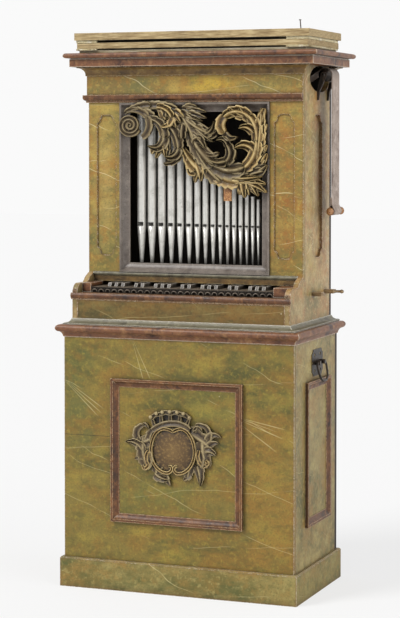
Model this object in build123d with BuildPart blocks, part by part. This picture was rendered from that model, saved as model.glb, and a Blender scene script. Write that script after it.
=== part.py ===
"""Chamber pipe organ in a painted wooden case: plinth and lower case, keyboard box, upper case with a
window of sixteen front pipes behind a carved shade, cornice, and a bellows on top that a strap works.

+X is the player's right, +Y goes from the player into the case, +Z is up. The origin is on the floor
under the middle of the lower case. Lengths are in millimetres.
"""

from build123d import *
from math import atan, cos, degrees, radians, sin, tan
import os

# Lower case
LOWER_SHOULDER = 21
LOWER_DEPTH = 444
LOWER_HEIGHT = 826
LOWER_BOARD = 20
PLINTH_HEIGHT = 98
PLINTH_BOARD = 12
PLINTH_EDGE = 4
NOSE_HEIGHT = 40
NOSE_PROJECTION = 24
NOSE_RADIUS = 11.5
SHELF_BOARD = 20

# Applied panel frames of the lower case
FRAME_WIDTH = 458
FRAME_HEIGHT = 468
FRAME_BOTTOM = 227
FRAME_BAR = 27
FRAME_PROUD = 13
FRAME_INNER_PROUD = 2
SIDE_FRAME_WIDTH = 244
SIDE_FRAME_SHIFT = 10
SIDE_FRAME_PROUD = 11

# Carved cartouche and crown on the front panel
CARTOUCHE_X = -5
CARTOUCHE_Z = 474
SHIELD_WIDTH = 152
SHIELD_HEIGHT = 148
SHIELD_THICKNESS = 20
SHIELD_RIM = 15
FIELD_DEPTH = 9
LEAF_THICKNESS = 9
CROWN_WIDTH = 116
CROWN_BAND = 17
CROWN_ARCH = 16
CROWN_LOBES = 5
CROWN_LOBE = 15
CROWN_HOLE = 5
CROWN_RISE = 33
CROWN_THICKNESS = 22

# Carrying handles
HANDLE_PLATE_WIDTH = 112
HANDLE_PLATE_HEIGHT = 86
HANDLE_PLATE = 2
HANDLE_PLATE_CORNER = 13
HANDLE_PIERCING = 10
HANDLE_PIVOT_Z = 750
HANDLE_SHIFT = 8
HANDLE_POST_SPAN = 50
HANDLE_POST_RADIUS = 7
HANDLE_POST_END = 6
HANDLE_BAR_RADIUS = 3.5
HANDLE_BAR_PLAY = 0.08
HANDLE_SPAN = 92
HANDLE_DROP = 60
HANDLE_BEND = 8
HANDLE_LEAN = 12
HANDLE_STANDOFF = 15

# Keyboard box
UPPER_SETBACK = 150
UPPER_BOARD = 18
KEYBOX_SETBACK = 18
BASE_MOULDING_HEIGHT = 20
BASE_MOULDING_PROJECTION = 24
KEYBOX_BOARD = 16
LEDGE_BOTTOM = 82
LEDGE_THICKNESS = 22
LEDGE_NOSE = 8
LEDGE_OVERHANG = 4
LEDGE_DEPTH = 34
KEY_BED_DEPTH = 156
CHEEK_LOBE_HEIGHT = 30
CHEEK_LOBE_DEPTH = 36
CHEEK_SHOULDER = 34
CHEEK_HOLLOW = 16

# Keys
NATURAL_COUNT = 27
NATURAL_PITCH = 23.6
NATURAL_GAP = 1
NATURAL_HEIGHT = 18
NATURAL_HEAD = 42
KEY_FRONT_SETBACK = 38
KEY_LENGTH = 150
ARCADE_DEPTH = 2.5
ARCADE_SPANDREL = 2
SHARP_WIDTH = 11
SHARP_HEIGHT = 12
SHARP_SLOPE = 5
SHARP_CLEARANCE = 1
SHARPS_AFTER = (2, 3, 4, 6, 7, 9, 10, 11, 13, 14, 16, 17, 18, 20, 21, 23, 24, 25)
LEFT_BLOCK = 32
RIGHT_BLOCK = 50.8
BLOCK_HEIGHT = 31
BLOCK_PLAY = 1
NAME_BOARD_GAP = 2
SILL_BEAD = 14
SILL_PROJECTION = 6.5
SILL_HEIGHT = 154

# Upper case
STILE_WIDTH = 122.5
STILE_PANEL_WIDTH = 68
STILE_PANEL_MARGIN = 31
STILE_PANEL_BELOW = 72
STILE_PANEL_ABOVE = 58
STILE_PANEL_DEPTH = 5
OGEE_DROP = 26
OGEE_FLAT = 24
SIDE_PANEL_WIDTH = 102
SIDE_PANEL_DEPTH = 8
WINDOW_BOTTOM = 176
WINDOW_HEIGHT = 546
WINDOW_FRAME_BAR = 30
WINDOW_FRAME_LAP = 8
WINDOW_FRAME_PROUD = 6
WINDOW_FRAME_DEPTH = 11
ARCHITRAVE_GAP = 2
ARCHITRAVE_HEIGHT = 25
ARCHITRAVE_PROJECTION = 16
FRIEZE_PROUD = 5
FRIEZE_HEIGHT = 64
COVE_HEIGHT = 30
COVE_PROJECTION = 31
FASCIA_HEIGHT = 26
FASCIA_PROJECTION = 49
CROWN_MOULD_HEIGHT = 19
CROWN_MOULD_PROJECTION = 66
COVE_CUT_MARGIN = 26
WINDCHEST_TOP = 192
WINDCHEST_BOARD = 24
WINDCHEST_DEPTH = 110

# Front pipes
PIPE_COUNT = 16
PIPE_SETBACK = 50
PIPE_LEFT_MARGIN = 34
PIPE_RIGHT_MARGIN = 42
PIPE_FIRST_RADIUS = 15
PIPE_LAST_RADIUS = 6.2
PIPE_PITCH_RATIO = 0.955
PIPE_WALL = 1
PIPE_FLATS = 16
PIPE_FOOT_LENGTH = 128
PIPE_TIP_SHARE = 0.36
PIPE_TOP_MARGIN = 7
PIPE_LAST_SHARE = 0.233
MOUTH_WIDTH_SHARE = 1.36
MOUTH_HEIGHT_SHARE = 0.45

# Pipe shade
SHADE_GROUND = 10
SHADE_RELIEF = 6
RELIEF_SHARE = 0.5
BAND_BELLY = 0.3
JOINT_FLATS = 12
LEAF_TIP = 3
VOLUTE_ACROSS = -83
VOLUTE_UP = 75
VOLUTE_RADIUS = 33
VOLUTE_BAND = 11
VOLUTE_EYE = 8

# Small wooden tab in front of the pipes, under the shade
TAB_SHARE = 0.47
TAB_WIDTH = 27
TAB_HEIGHT = 82
TAB_THICKNESS = 4

# Bellows
BELLOWS_OVERHANG = 33
BELLOWS_SETBACK = 106
BELLOWS_BACK_OVERHANG = 4
BELLOWS_BASE = 9
LOWER_FOLD_HEIGHT = 6
MIDDLE_FRAME_HEIGHT = 19
MIDDLE_FRAME_BAR = 60
MIDDLE_FRAME_INSET = 7
UPPER_FOLD_HEIGHT = 9
TOP_BOARD = 24
BASE_INSET = 13
FOLD_DEPTH = 46
FOLD_LEATHER = 1.6
PIN_RADIUS = 1.8
PIN_HEAD_RADIUS = 4
PIN_HEAD = 2.5
PIN_HEIGHT = 29
PIN_INSET_X = 32
PIN_INSET_Y = 14
PIN_TILT = 5

# Roller, strap and toggle
CUTOUT_HEIGHT = 86
CUTOUT_FRONT_MARGIN = 48
CUTOUT_BACK_MARGIN = 6
CUTOUT_TOP_MARGIN = 1
ROLLER_RADIUS = 21
ROLLER_LENGTH = 90
ROLLER_OFFSET = 23
ROLLER_DROP = 1
ROLLER_BACK_MARGIN = 98
AXLE_RADIUS = 5
AXLE_PLAY = 0.08
ARM_WIDTH = 14
ARM_THICKNESS = 6
ARM_GAP = 5
ARM_FOOT = 30
ARM_REACH = 52
ARM_FOOT_THICKNESS = 6
ARM_EYE_RADIUS = 10
AXLE_END = 4
STRAP_WIDTH = 77
STRAP_THICKNESS = 3
STRAP_CLEARANCE = 0.3
STRAP_LAP_ANGLE = 122
STRAP_TAIL = 110
STRAP_DROP = 448
STRAP_FLAP = 24
STRAP_PLY_GAP = 0.6
STRAP_LOOP_ANGLE = 25
TOGGLE_RADIUS = 9
TOGGLE_BALL_RADIUS = 13
TOGGLE_SHIFT = 6
TOGGLE_NECK_RADIUS = 6
TOGGLE_FLATS = 12

# Stop levers
LEVER_WIDTH = 28
LEVER_THICKNESS = 13
LEVER_Z = 104
LEVER_PLAY = 0.4
LEVER_INSIDE = 120
LEVER_CHAMFER = 4
LEVER_BAR_OUT = 36
LEVER_NECK = 16
LEVER_NECK_RADIUS = 4.5
LEVER_KNOB_RADIUS = 7
LEVER_KNOB_LENGTH = 12
LEVER_FRONT_MARGIN = 104
LEVER_BACK_MARGIN = 62

# Stems of the pipe shade: stations along each, in hundredths of the half window across and up, with the
# width there and how far the arc to the next station bulges to its left
SHADE_STEMS = (
    ((-16, 92, 31, 3), (4, 60, 34, -8), (32, 30, 40, -17), (72, 25, 31, -14), (90, 56, 31, -11),
     (80, 86, 27, -17), (46, 86, 20, -14), (46, 66, 17, -10), (64, 62, 7, 0)),
    ((19, 42, 10, -15), (49, 33, 27, -14), (51, 52, 24, -13), (37, 57, 5, 0)),
    ((-75, 67, 18, -19), (-60, 86, 19, -14), (-90, 93, 10, 0)),
    ((-92, 91, 9, 7), (-55, 98, 18, 6), (-18, 94, 12, 0)),
    ((-47, 97, 20, 10), (-25, 85, 22, 12), (-40, 75, 5, 0)),
    ((-58, 84, 17, 17), (-36, 61, 31, 18), (-58, 51, 5, 0)),
    ((-30, 75, 25, 9), (-16, 47, 27, 13), (-33, 39, 8, 0)),
    ((-11, 49, 11, -3), (10, 25, 41, 2), (14, 8, 4, 0)),
    ((18, 36, 33, -12), (48, 22, 34, -7), (79, 19, 30, 0)),
    ((8, 45, 26, -7), (38, 11, 34, -4), (67, 9, 28, -3), (96, 14, 4, 0)),
    ((88, 28, 33, -5), (96, 95, 12, 0)),
)
# Leaves that grow from the stems: root, tip, width at the root and bulge
SHADE_LEAVES = (
    (-41, 93, -34, 80, 26, 0), (-24, 93, -8, 84, 20, 2), (-26, 83, -19, 73, 20, 2),
    (-46, 49, -48, 37, 24, 0), (-38, 50, -34, 36, 24, 0), (-16, 45, -37, 30, 24, 12),
    (-19, 79, 0, 72, 27, 3), (81, 83, 66, 99, 27, 3), (72, 87, 53, 99, 27, 3), (90, 73, 101, 94, 22, 0),
    (93, 31, 103, 42, 26, 0), (86, 66, 67, 71, 27, -10), (87, 44, 61, 48, 31, -12),
    (-12, 94, 21, 92, 22, 2), (-6, 80, 28, 66, 31, -3), (19, 64, 33, 80, 24, -8),
    (4, 73, 30, 56, 31, 0), (3, 64, 21, 48, 32, 3), (-3, 72, 13, 44, 30, -3), (11, 26, 21, 16, 30, 0),
    (63, 6, 101, 6, 27, 3), (77, 6, 101, -4, 28, 3), (69, 8, 73, -10, 30, 0),
)
# Leaves of the right half of the cartouche, in hundredths of the shield's half width and half height from
# its middle: root, tip, width at the root and bulge; the left half mirrors them
CARTOUCHE_LEAVES = (
    (150, 40, 108, 110, 16, -16), (68, 78, 159, 28, 36, 4), (148, 52, 218, 68, 22, 12),
    (154, 22, 207, 42, 22, 5), (145, 0, 192, -11, 27, 7), (120, 52, 138, -70, 60, -6),
    (118, 5, 120, -64, 18, 6), (86, -52, 70, -118, 28, -3), (112, -62, 122, -150, 32, 5),
    (88, -98, 14, -124, 26, 6), (50, -108, 28, -156, 22, 0), (78, -110, 50, -138, 20, 0),
)

# Planes that several pieces share
keyboard_width = LEFT_BLOCK + RIGHT_BLOCK + 2 * BLOCK_PLAY + NATURAL_COUNT * NATURAL_PITCH
inner_half = keyboard_width / 2
upper_half = inner_half + UPPER_BOARD
lower_half = upper_half + LOWER_SHOULDER
front_y = -LOWER_DEPTH / 2
back_y = LOWER_DEPTH / 2
shelf_z = LOWER_HEIGHT + NOSE_HEIGHT
upper_front_y = front_y + UPPER_SETBACK
keybox_y = front_y + KEYBOX_SETBACK
ledge_z = shelf_z + LEDGE_BOTTOM
key_z = ledge_z + LEDGE_THICKNESS
key_front_y = keybox_y + KEY_FRONT_SETBACK
key_top = key_z + NATURAL_HEIGHT
sill_z = shelf_z + SILL_HEIGHT
side_front_y = upper_front_y + UPPER_BOARD
side_back_y = back_y - UPPER_BOARD
window_width = 2 * (upper_half - STILE_WIDTH)
window_z = shelf_z + WINDOW_BOTTOM + WINDOW_HEIGHT / 2
window_top = window_z + WINDOW_HEIGHT / 2
architrave_z = window_top + WINDOW_FRAME_LAP + ARCHITRAVE_GAP
frieze_bottom = architrave_z + ARCHITRAVE_HEIGHT
cove_z = frieze_bottom + FRIEZE_HEIGHT
fascia_z = cove_z + COVE_HEIGHT
crown_z = fascia_z + FASCIA_HEIGHT
upper_top = crown_z
cornice_top = crown_z + CROWN_MOULD_HEIGHT
windchest_z = shelf_z + WINDCHEST_TOP
pipe_y = upper_front_y + PIPE_SETBACK
roller_x = upper_half + ROLLER_OFFSET
roller_y = back_y - ROLLER_BACK_MARGIN
roller_z = cove_z - ROLLER_DROP
lever_z = shelf_z + LEVER_Z
lever_places = {"front": upper_front_y + LEVER_FRONT_MARGIN, "rear": back_y - LEVER_BACK_MARGIN}


def finish(piece, label):
    """Names a finished piece and writes it."""
    piece.part.label = label
    export_step(piece.part, f"parts/{label}.step")


def board(x_range, y_range, z_range):
    """A squared board between two planes on each axis."""
    (x0, x1), (y0, y1), (z0, z1) = x_range, y_range, z_range
    with BuildPart() as piece:
        with BuildSketch(Plane.XY.offset(z0)):
            with Locations(((x0 + x1) / 2, (y0 + y1) / 2)):
                Rectangle(x1 - x0, y1 - y0)
        extrude(amount=z1 - z0)
    return piece


def ring_moulding(half_width, y_front, y_back, z, profile):
    """A mitred moulding round a rectangle; the profile gives (outward, up) lines from its face at z."""
    with BuildPart() as piece:
        with BuildLine(Plane.XY.offset(z)):
            Polyline(
                (0, y_front),
                (half_width, y_front),
                (half_width, y_back),
                (-half_width, y_back),
                (-half_width, y_front),
                close=True,
            )
        section_plane = Plane(origin=(0, y_front, z), x_dir=(0, -1, 0), z_dir=(-1, 0, 0))
        with BuildSketch(section_plane):
            with BuildLine():
                profile()
            make_face()
        sweep(transition=Transition.RIGHT)
    return piece


def mitred_frame(plane, width, height, profile):
    """A mitred frame on a plane whose z points into the wall; the profile gives (inward, outward) lines."""
    with BuildPart() as piece:
        with BuildLine(plane):
            Polyline(
                (0, -height / 2),
                (width / 2, -height / 2),
                (width / 2, height / 2),
                (-width / 2, height / 2),
                (-width / 2, -height / 2),
                close=True,
            )
        section_plane = Plane(
            origin=plane.from_local_coords(Vector(0, -height / 2, 0)),
            x_dir=plane.y_dir,
            z_dir=-plane.x_dir,
        )
        with BuildSketch(section_plane):
            with BuildLine():
                profile()
            make_face()
        sweep(transition=Transition.RIGHT)
    return piece


def panel_frame_profile(proud):
    """Section of an applied panel frame: square outer fillet, hollow, low inner edge."""
    fillet_width = FRAME_BAR * 0.3
    hollow_end = (FRAME_BAR * 0.86, FRAME_INNER_PROUD * 1.5)
    Polyline((FRAME_BAR, 0), (0, 0), (0, proud), (fillet_width, proud))
    ThreePointArc((fillet_width, proud), (FRAME_BAR * 0.58, proud * 0.42), hollow_end)
    Polyline(hollow_end, (FRAME_BAR, FRAME_INNER_PROUD), (FRAME_BAR, 0))


def ogee_field(width, height, drop, flat):
    """Draws a sunk field: straight sides, and ends that step out in an ogee to a short flat."""
    w, h, f = width / 2, height / 2, flat / 2
    bend = (w - f) / 2
    for s in (1, -1):
        Line((s * w, -s * h), (s * w, s * h))
        ThreePointArc(
            (s * w, s * h),
            (s * (w - bend * 0.7), s * (h + drop * 0.2)),
            (s * (f + bend), s * (h + drop * 0.5)),
        )
        ThreePointArc(
            (s * (f + bend), s * (h + drop * 0.5)),
            (s * (f + bend * 0.7), s * (h + drop * 0.86)),
            (s * f, s * (h + drop)),
        )
        Line((s * f, s * (h + drop)), (-s * f, s * (h + drop)))
        ThreePointArc(
            (-s * f, s * (h + drop)),
            (-s * (f + bend * 0.7), s * (h + drop * 0.86)),
            (-s * (f + bend), s * (h + drop * 0.5)),
        )
        ThreePointArc(
            (-s * (f + bend), s * (h + drop * 0.5)),
            (-s * (w - bend * 0.7), s * (h + drop * 0.2)),
            (-s * w, s * h),
        )


def band(start, end, start_width, end_width, bulge):
    """Draws a tapering band from start to end along an arc that bulges to the left of the way."""
    start, end = Vector(*start), Vector(*end)
    along = end - start
    left = Vector(-along.Y, along.X).normalized()
    turn = degrees(2 * atan(2 * bulge / along.length))
    start_normal, end_normal = left.rotate(Axis.Z, turn), left.rotate(Axis.Z, -turn)
    belly = (start_width + end_width) * BAND_BELLY
    sides = [
        (
            start + start_normal * (s * start_width / 2),
            (start + end) / 2 + left * (bulge + s * belly),
            end + end_normal * (s * end_width / 2),
        )
        for s in (1, -1)
    ]
    side_line = ThreePointArc if bulge else Polyline
    with BuildLine() as outline:
        side_line(*sides[0])
        Line(sides[0][2], sides[1][2])
        side_line(*sides[1])
        Line(sides[1][0], sides[0][0])
    make_face(outline.edges())


os.makedirs("parts", exist_ok=True)

# Lower case: four boards, a moulded base, a nosed cornice and the shelf inside it
lower_inner_half = lower_half - LOWER_BOARD
lower_z = (0, LOWER_HEIGHT)
lower_front_wall = board((-lower_half, lower_half), (front_y, front_y + LOWER_BOARD), lower_z)
finish(lower_front_wall, "lower_front_wall")
lower_back_wall = board((-lower_half, lower_half), (back_y - LOWER_BOARD, back_y), lower_z)
finish(lower_back_wall, "lower_back_wall")
lower_side_y = (front_y + LOWER_BOARD, back_y - LOWER_BOARD)
with BuildPart() as lower_side_walls:
    add(board((lower_inner_half, lower_half), lower_side_y, lower_z).part)
    add(board((-lower_half, -lower_inner_half), lower_side_y, lower_z).part)
finish(lower_side_walls, "lower_side_walls")


def plinth_profile():
    Polyline(
        (0, 0),
        (PLINTH_BOARD, 0),
        (PLINTH_BOARD, PLINTH_HEIGHT - PLINTH_EDGE),
        (PLINTH_BOARD - PLINTH_EDGE, PLINTH_HEIGHT),
        (0, PLINTH_HEIGHT),
        close=True,
    )


plinth = ring_moulding(lower_half, front_y, back_y, 0, plinth_profile)
finish(plinth, "plinth")


def nose_profile():
    top = NOSE_HEIGHT
    centre = top - NOSE_RADIUS
    round_start = NOSE_PROJECTION - NOSE_RADIUS
    Line((-LOWER_BOARD, top), (-LOWER_BOARD, 0))
    Line((-LOWER_BOARD, 0), (NOSE_RADIUS * 0.3, 0))
    ThreePointArc(
        (NOSE_RADIUS * 0.3, 0),
        (round_start * 0.5, (centre - NOSE_RADIUS) * 0.6),
        (round_start, centre - NOSE_RADIUS),
    )
    ThreePointArc(
        (round_start, centre - NOSE_RADIUS), (NOSE_PROJECTION, centre), (round_start, top)
    )
    Line((round_start, top), (-LOWER_BOARD, top))


lower_cornice = ring_moulding(lower_half, front_y, back_y, LOWER_HEIGHT, nose_profile)
finish(lower_cornice, "lower_cornice")
lower_shelf = board(
    (-lower_inner_half, lower_inner_half), lower_side_y, (shelf_z - SHELF_BOARD, shelf_z)
)
finish(lower_shelf, "lower_shelf")

# Panel frames applied to the front and the sides of the lower case
frame_z = FRAME_BOTTOM + FRAME_HEIGHT / 2
front_frame_plane = Plane(origin=(0, front_y, frame_z), x_dir=(1, 0, 0), z_dir=(0, 1, 0))
front_panel_frame = mitred_frame(
    front_frame_plane, FRAME_WIDTH, FRAME_HEIGHT, lambda: panel_frame_profile(FRAME_PROUD)
)
finish(front_panel_frame, "front_panel_frame")
side_frames = []
for side in (1, -1):
    side_plane = Plane(
        origin=(side * lower_half, SIDE_FRAME_SHIFT, frame_z),
        x_dir=(0, side, 0),
        z_dir=(-side, 0, 0),
    )
    side_frames.append(mitred_frame(
        side_plane, SIDE_FRAME_WIDTH, FRAME_HEIGHT, lambda: panel_frame_profile(SIDE_FRAME_PROUD)
    ))
with BuildPart() as side_panel_frames:
    add([frame.part for frame in side_frames])
finish(side_panel_frames, "side_panel_frames")

# Moulded foot of the upper case and the keyboard box, standing on the shelf
def base_profile():
    step = BASE_MOULDING_HEIGHT * 0.2
    Polyline(
        (0, BASE_MOULDING_HEIGHT),
        (0, 0),
        (BASE_MOULDING_PROJECTION, 0),
        (BASE_MOULDING_PROJECTION, step),
        (BASE_MOULDING_PROJECTION - step, step * 1.4),
    )
    ThreePointArc(
        (BASE_MOULDING_PROJECTION - step, step * 1.4),
        (BASE_MOULDING_PROJECTION * 0.36, BASE_MOULDING_HEIGHT * 0.45),
        (step * 0.7, BASE_MOULDING_HEIGHT - step * 0.4),
    )
    Line((step * 0.7, BASE_MOULDING_HEIGHT - step * 0.4), (0, BASE_MOULDING_HEIGHT))


base_moulding = ring_moulding(upper_half, keybox_y, back_y, shelf_z, base_profile)
finish(base_moulding, "base_moulding")

# Keyboard box: front board, scrolled cheeks, nosed ledge and the bed under the keys
keybox_front = board(
    (-inner_half, inner_half), (keybox_y, keybox_y + KEYBOX_BOARD), (shelf_z, ledge_z)
)
finish(keybox_front, "keybox_front")

cheek_lobe_top = key_z + CHEEK_LOBE_HEIGHT
cheek_mid_y = keybox_y + CHEEK_LOBE_DEPTH
cheek_step_y = upper_front_y - CHEEK_SHOULDER - CHEEK_HOLLOW
cheek_top = sill_z + SILL_BEAD * 0.8
with BuildPart() as cheeks:
    for side in (1, -1):
        with BuildSketch(Plane.YZ.offset(side * inner_half)):
            with BuildLine():
                Polyline(
                    (keybox_y, key_z),
                    (keybox_y, shelf_z),
                    (side_front_y, shelf_z),
                    (side_front_y, sill_z),
                    (upper_front_y, sill_z),
                    (upper_front_y, cheek_top),
                )
                ThreePointArc(
                    (upper_front_y, cheek_top),
                    (upper_front_y - CHEEK_SHOULDER * 0.5, cheek_top - CHEEK_HOLLOW * 0.45),
                    (upper_front_y - CHEEK_SHOULDER, cheek_top - CHEEK_HOLLOW),
                )
                ThreePointArc(
                    (upper_front_y - CHEEK_SHOULDER, cheek_top - CHEEK_HOLLOW),
                    (cheek_step_y + CHEEK_HOLLOW * 0.3, cheek_lobe_top + CHEEK_HOLLOW * 0.3),
                    (cheek_step_y, cheek_lobe_top),
                )
                Line((cheek_step_y, cheek_lobe_top), (cheek_mid_y, cheek_lobe_top))
                ThreePointArc(
                    (cheek_mid_y, cheek_lobe_top),
                    (keybox_y + CHEEK_LOBE_DEPTH * 0.3, key_z + CHEEK_LOBE_HEIGHT * 0.74),
                    (keybox_y, key_z),
                )
            make_face()
        extrude(amount=side * UPPER_BOARD)
finish(cheeks, "cheeks")

ledge_front = keybox_y - LEDGE_NOSE
ledge_half = upper_half + LEDGE_OVERHANG
ledge_back = keybox_y + LEDGE_DEPTH
nose_half = (LEDGE_THICKNESS - LEDGE_NOSE * 0.5) / 2
with BuildPart() as key_ledge:
    with BuildSketch(Plane.YZ.offset(-ledge_half)):
        with BuildLine():
            Polyline(
                (ledge_front + LEDGE_NOSE * 0.5, key_z),
                (keybox_y, key_z),
                (keybox_y, ledge_z),
                (ledge_front + LEDGE_NOSE * 0.75, ledge_z),
                (ledge_front + LEDGE_NOSE * 0.75, key_z - 2 * nose_half),
                (ledge_front + LEDGE_NOSE * 0.5, key_z - 2 * nose_half),
            )
            ThreePointArc(
                (ledge_front + LEDGE_NOSE * 0.5, key_z - 2 * nose_half),
                (ledge_front, key_z - nose_half),
                (ledge_front + LEDGE_NOSE * 0.5, key_z),
            )
        make_face()
    extrude(amount=2 * ledge_half)
    with BuildSketch(Plane.XY.offset(ledge_z)):
        with Locations((0, (keybox_y + ledge_back) / 2)):
            Rectangle(2 * inner_half, LEDGE_DEPTH)
    extrude(amount=LEDGE_THICKNESS)
finish(key_ledge, "key_ledge")

key_bed = board(
    (-inner_half, inner_half), (ledge_back, ledge_back + KEY_BED_DEPTH), (ledge_z, key_z)
)
finish(key_bed, "key_bed")

# Keys: naturals with arcaded fronts, notched for the sharps between them
key_back_y = key_front_y + KEY_LENGTH
name_board_bottom = key_top + SHARP_HEIGHT + NAME_BOARD_GAP
sharp_front_y = key_front_y + NATURAL_HEAD
sharp_notch = SHARP_WIDTH / 2 + SHARP_CLEARANCE
natural_width = NATURAL_PITCH - NATURAL_GAP
natural_first_x = -inner_half + LEFT_BLOCK + BLOCK_PLAY
arcade_radius = natural_width / 2 - ARCADE_SPANDREL
with BuildPart() as naturals:
    with BuildSketch(Plane.XY.offset(key_z)):
        for key in range(NATURAL_COUNT):
            with Locations(
                (natural_first_x + NATURAL_PITCH * (key + 0.5), (key_front_y + key_back_y) / 2)
            ):
                Rectangle(natural_width, KEY_LENGTH)
        for boundary in SHARPS_AFTER:
            with Locations(
                (
                    natural_first_x + NATURAL_PITCH * boundary,
                    (sharp_front_y - SHARP_CLEARANCE + key_back_y) / 2,
                )
            ):
                Rectangle(
                    2 * sharp_notch, key_back_y - sharp_front_y + SHARP_CLEARANCE, mode=Mode.SUBTRACT
                )
    extrude(amount=NATURAL_HEIGHT)
    with BuildSketch(Plane.XZ.offset(-key_front_y)):
        for key in range(NATURAL_COUNT):
            with Locations((natural_first_x + NATURAL_PITCH * (key + 0.5), key_z)):
                Circle(arcade_radius)
    extrude(amount=-ARCADE_DEPTH, mode=Mode.SUBTRACT)
finish(naturals, "naturals")

with BuildPart() as sharps:
    for boundary in SHARPS_AFTER:
        x = natural_first_x + NATURAL_PITCH * boundary - SHARP_WIDTH / 2
        with BuildSketch(Plane.YZ.offset(x)):
            with BuildLine():
                Polyline(
                    (sharp_front_y, key_z),
                    (key_back_y, key_z),
                    (key_back_y, key_top + SHARP_HEIGHT),
                    (sharp_front_y + SHARP_SLOPE, key_top + SHARP_HEIGHT),
                    (sharp_front_y, key_top),
                    close=True,
                )
            make_face()
        extrude(amount=SHARP_WIDTH)
finish(sharps, "sharps")

# Blocks that fill the ends of the keyboard, the name board and the bead of the window sill
natural_last_x = natural_first_x + NATURAL_PITCH * NATURAL_COUNT
block_y = (key_front_y, upper_front_y)
block_z = (key_z, key_z + BLOCK_HEIGHT)
with BuildPart() as key_blocks:
    add(board((-inner_half, natural_first_x - BLOCK_PLAY), block_y, block_z).part)
    add(board((natural_last_x + BLOCK_PLAY, inner_half), block_y, block_z).part)
finish(key_blocks, "key_blocks")
name_board = board(
    (-inner_half, inner_half), (upper_front_y, side_front_y), (name_board_bottom, sill_z)
)
finish(name_board, "name_board")
with BuildPart() as sill_bead:
    with BuildSketch(Plane.YZ.offset(-inner_half)):
        with BuildLine():
            Line((upper_front_y, sill_z), (upper_front_y, sill_z + SILL_BEAD))
            ThreePointArc(
                (upper_front_y, sill_z + SILL_BEAD),
                (upper_front_y - SILL_PROJECTION, sill_z + SILL_BEAD / 2),
                (upper_front_y, sill_z),
            )
        make_face()
    extrude(amount=2 * inner_half)
finish(sill_bead, "sill_bead")

# Upper case: front with its window and sunk fields, sides, back
stile_height = WINDOW_HEIGHT - STILE_PANEL_BELOW - STILE_PANEL_ABOVE
stile_field_z = window_z + (STILE_PANEL_BELOW - STILE_PANEL_ABOVE) / 2
stile_field_x = upper_half - STILE_PANEL_MARGIN - STILE_PANEL_WIDTH / 2
front_face = Plane(origin=(0, upper_front_y, 0), x_dir=(1, 0, 0), z_dir=(0, -1, 0))
with BuildPart() as upper_front:
    with BuildSketch(front_face):
        with Locations((0, (sill_z + upper_top) / 2)):
            Rectangle(2 * upper_half, upper_top - sill_z)
        with Locations((0, window_z)):
            Rectangle(window_width, WINDOW_HEIGHT, mode=Mode.SUBTRACT)
    extrude(amount=-UPPER_BOARD)
    for side in (1, -1):
        field_plane = Plane(
            origin=(side * stile_field_x, upper_front_y, stile_field_z),
            x_dir=(1, 0, 0),
            z_dir=(0, -1, 0),
        )
        with BuildSketch(field_plane):
            with BuildLine():
                ogee_field(STILE_PANEL_WIDTH, stile_height, OGEE_DROP, OGEE_FLAT)
            make_face()
        extrude(amount=-STILE_PANEL_DEPTH, mode=Mode.SUBTRACT)
finish(upper_front, "upper_front")

upper_back = board((-upper_half, upper_half), (side_back_y, back_y), (shelf_z, upper_top))
finish(upper_back, "upper_back")

side_middle_y = (upper_front_y + back_y) / 2
cutout_front = side_front_y + CUTOUT_FRONT_MARGIN
cutout_back = side_back_y - CUTOUT_BACK_MARGIN
cutout_z = fascia_z - CUTOUT_TOP_MARGIN - CUTOUT_HEIGHT / 2
for side, side_name in ((1, "right"), (-1, "left")):
    with BuildPart() as upper_side:
        with BuildSketch(Plane.YZ.offset(side * inner_half)):
            with Locations(((side_front_y + side_back_y) / 2, (shelf_z + upper_top) / 2)):
                Rectangle(side_back_y - side_front_y, upper_top - shelf_z)
            if side == 1:
                with Locations(((cutout_front + cutout_back) / 2, cutout_z)):
                    Ellipse((cutout_back - cutout_front) / 2, CUTOUT_HEIGHT / 2, mode=Mode.SUBTRACT)
                with Locations(*((y, lever_z) for y in lever_places.values())):
                    Rectangle(
                        LEVER_WIDTH + 2 * LEVER_PLAY,
                        LEVER_THICKNESS + 2 * LEVER_PLAY,
                        mode=Mode.SUBTRACT,
                    )
        extrude(amount=side * UPPER_BOARD)
        field_plane = Plane(
            origin=(side * upper_half, side_middle_y, stile_field_z),
            x_dir=(0, side, 0),
            z_dir=(side, 0, 0),
        )
        with BuildSketch(field_plane):
            with BuildLine():
                ogee_field(SIDE_PANEL_WIDTH, stile_height, OGEE_DROP, OGEE_FLAT)
            make_face()
        extrude(amount=-SIDE_PANEL_DEPTH, mode=Mode.SUBTRACT)
    finish(upper_side, f"upper_{side_name}_wall")

# Window frame: a mitred hollow moulding that laps the board and slopes in to the pipes
def window_profile():
    lap_outer = WINDOW_FRAME_PROUD
    inner = -WINDOW_FRAME_DEPTH
    Polyline(
        (WINDOW_FRAME_BAR, inner),
        (WINDOW_FRAME_BAR, -UPPER_BOARD),
        (WINDOW_FRAME_LAP, -UPPER_BOARD),
        (WINDOW_FRAME_LAP, 0),
        (0, 0),
        (0, lap_outer),
        (WINDOW_FRAME_BAR * 0.2, lap_outer),
    )
    ThreePointArc(
        (WINDOW_FRAME_BAR * 0.2, lap_outer),
        (WINDOW_FRAME_BAR * 0.48, inner * 0.45),
        (WINDOW_FRAME_BAR, inner),
    )


window_plane = Plane(origin=(0, upper_front_y, window_z), x_dir=(1, 0, 0), z_dir=(0, 1, 0))
window_frame = mitred_frame(
    window_plane,
    window_width + 2 * WINDOW_FRAME_LAP,
    WINDOW_HEIGHT + 2 * WINDOW_FRAME_LAP,
    window_profile,
)
finish(window_frame, "window_frame")

# Windchest top that the front pipes stand on, and the pipes themselves
windchest_y = (side_front_y, side_front_y + WINDCHEST_DEPTH)
windchest_board = board(
    (-inner_half, inner_half), windchest_y, (windchest_z - WINDCHEST_BOARD, windchest_z)
)
finish(windchest_board, "windchest_board")


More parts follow.
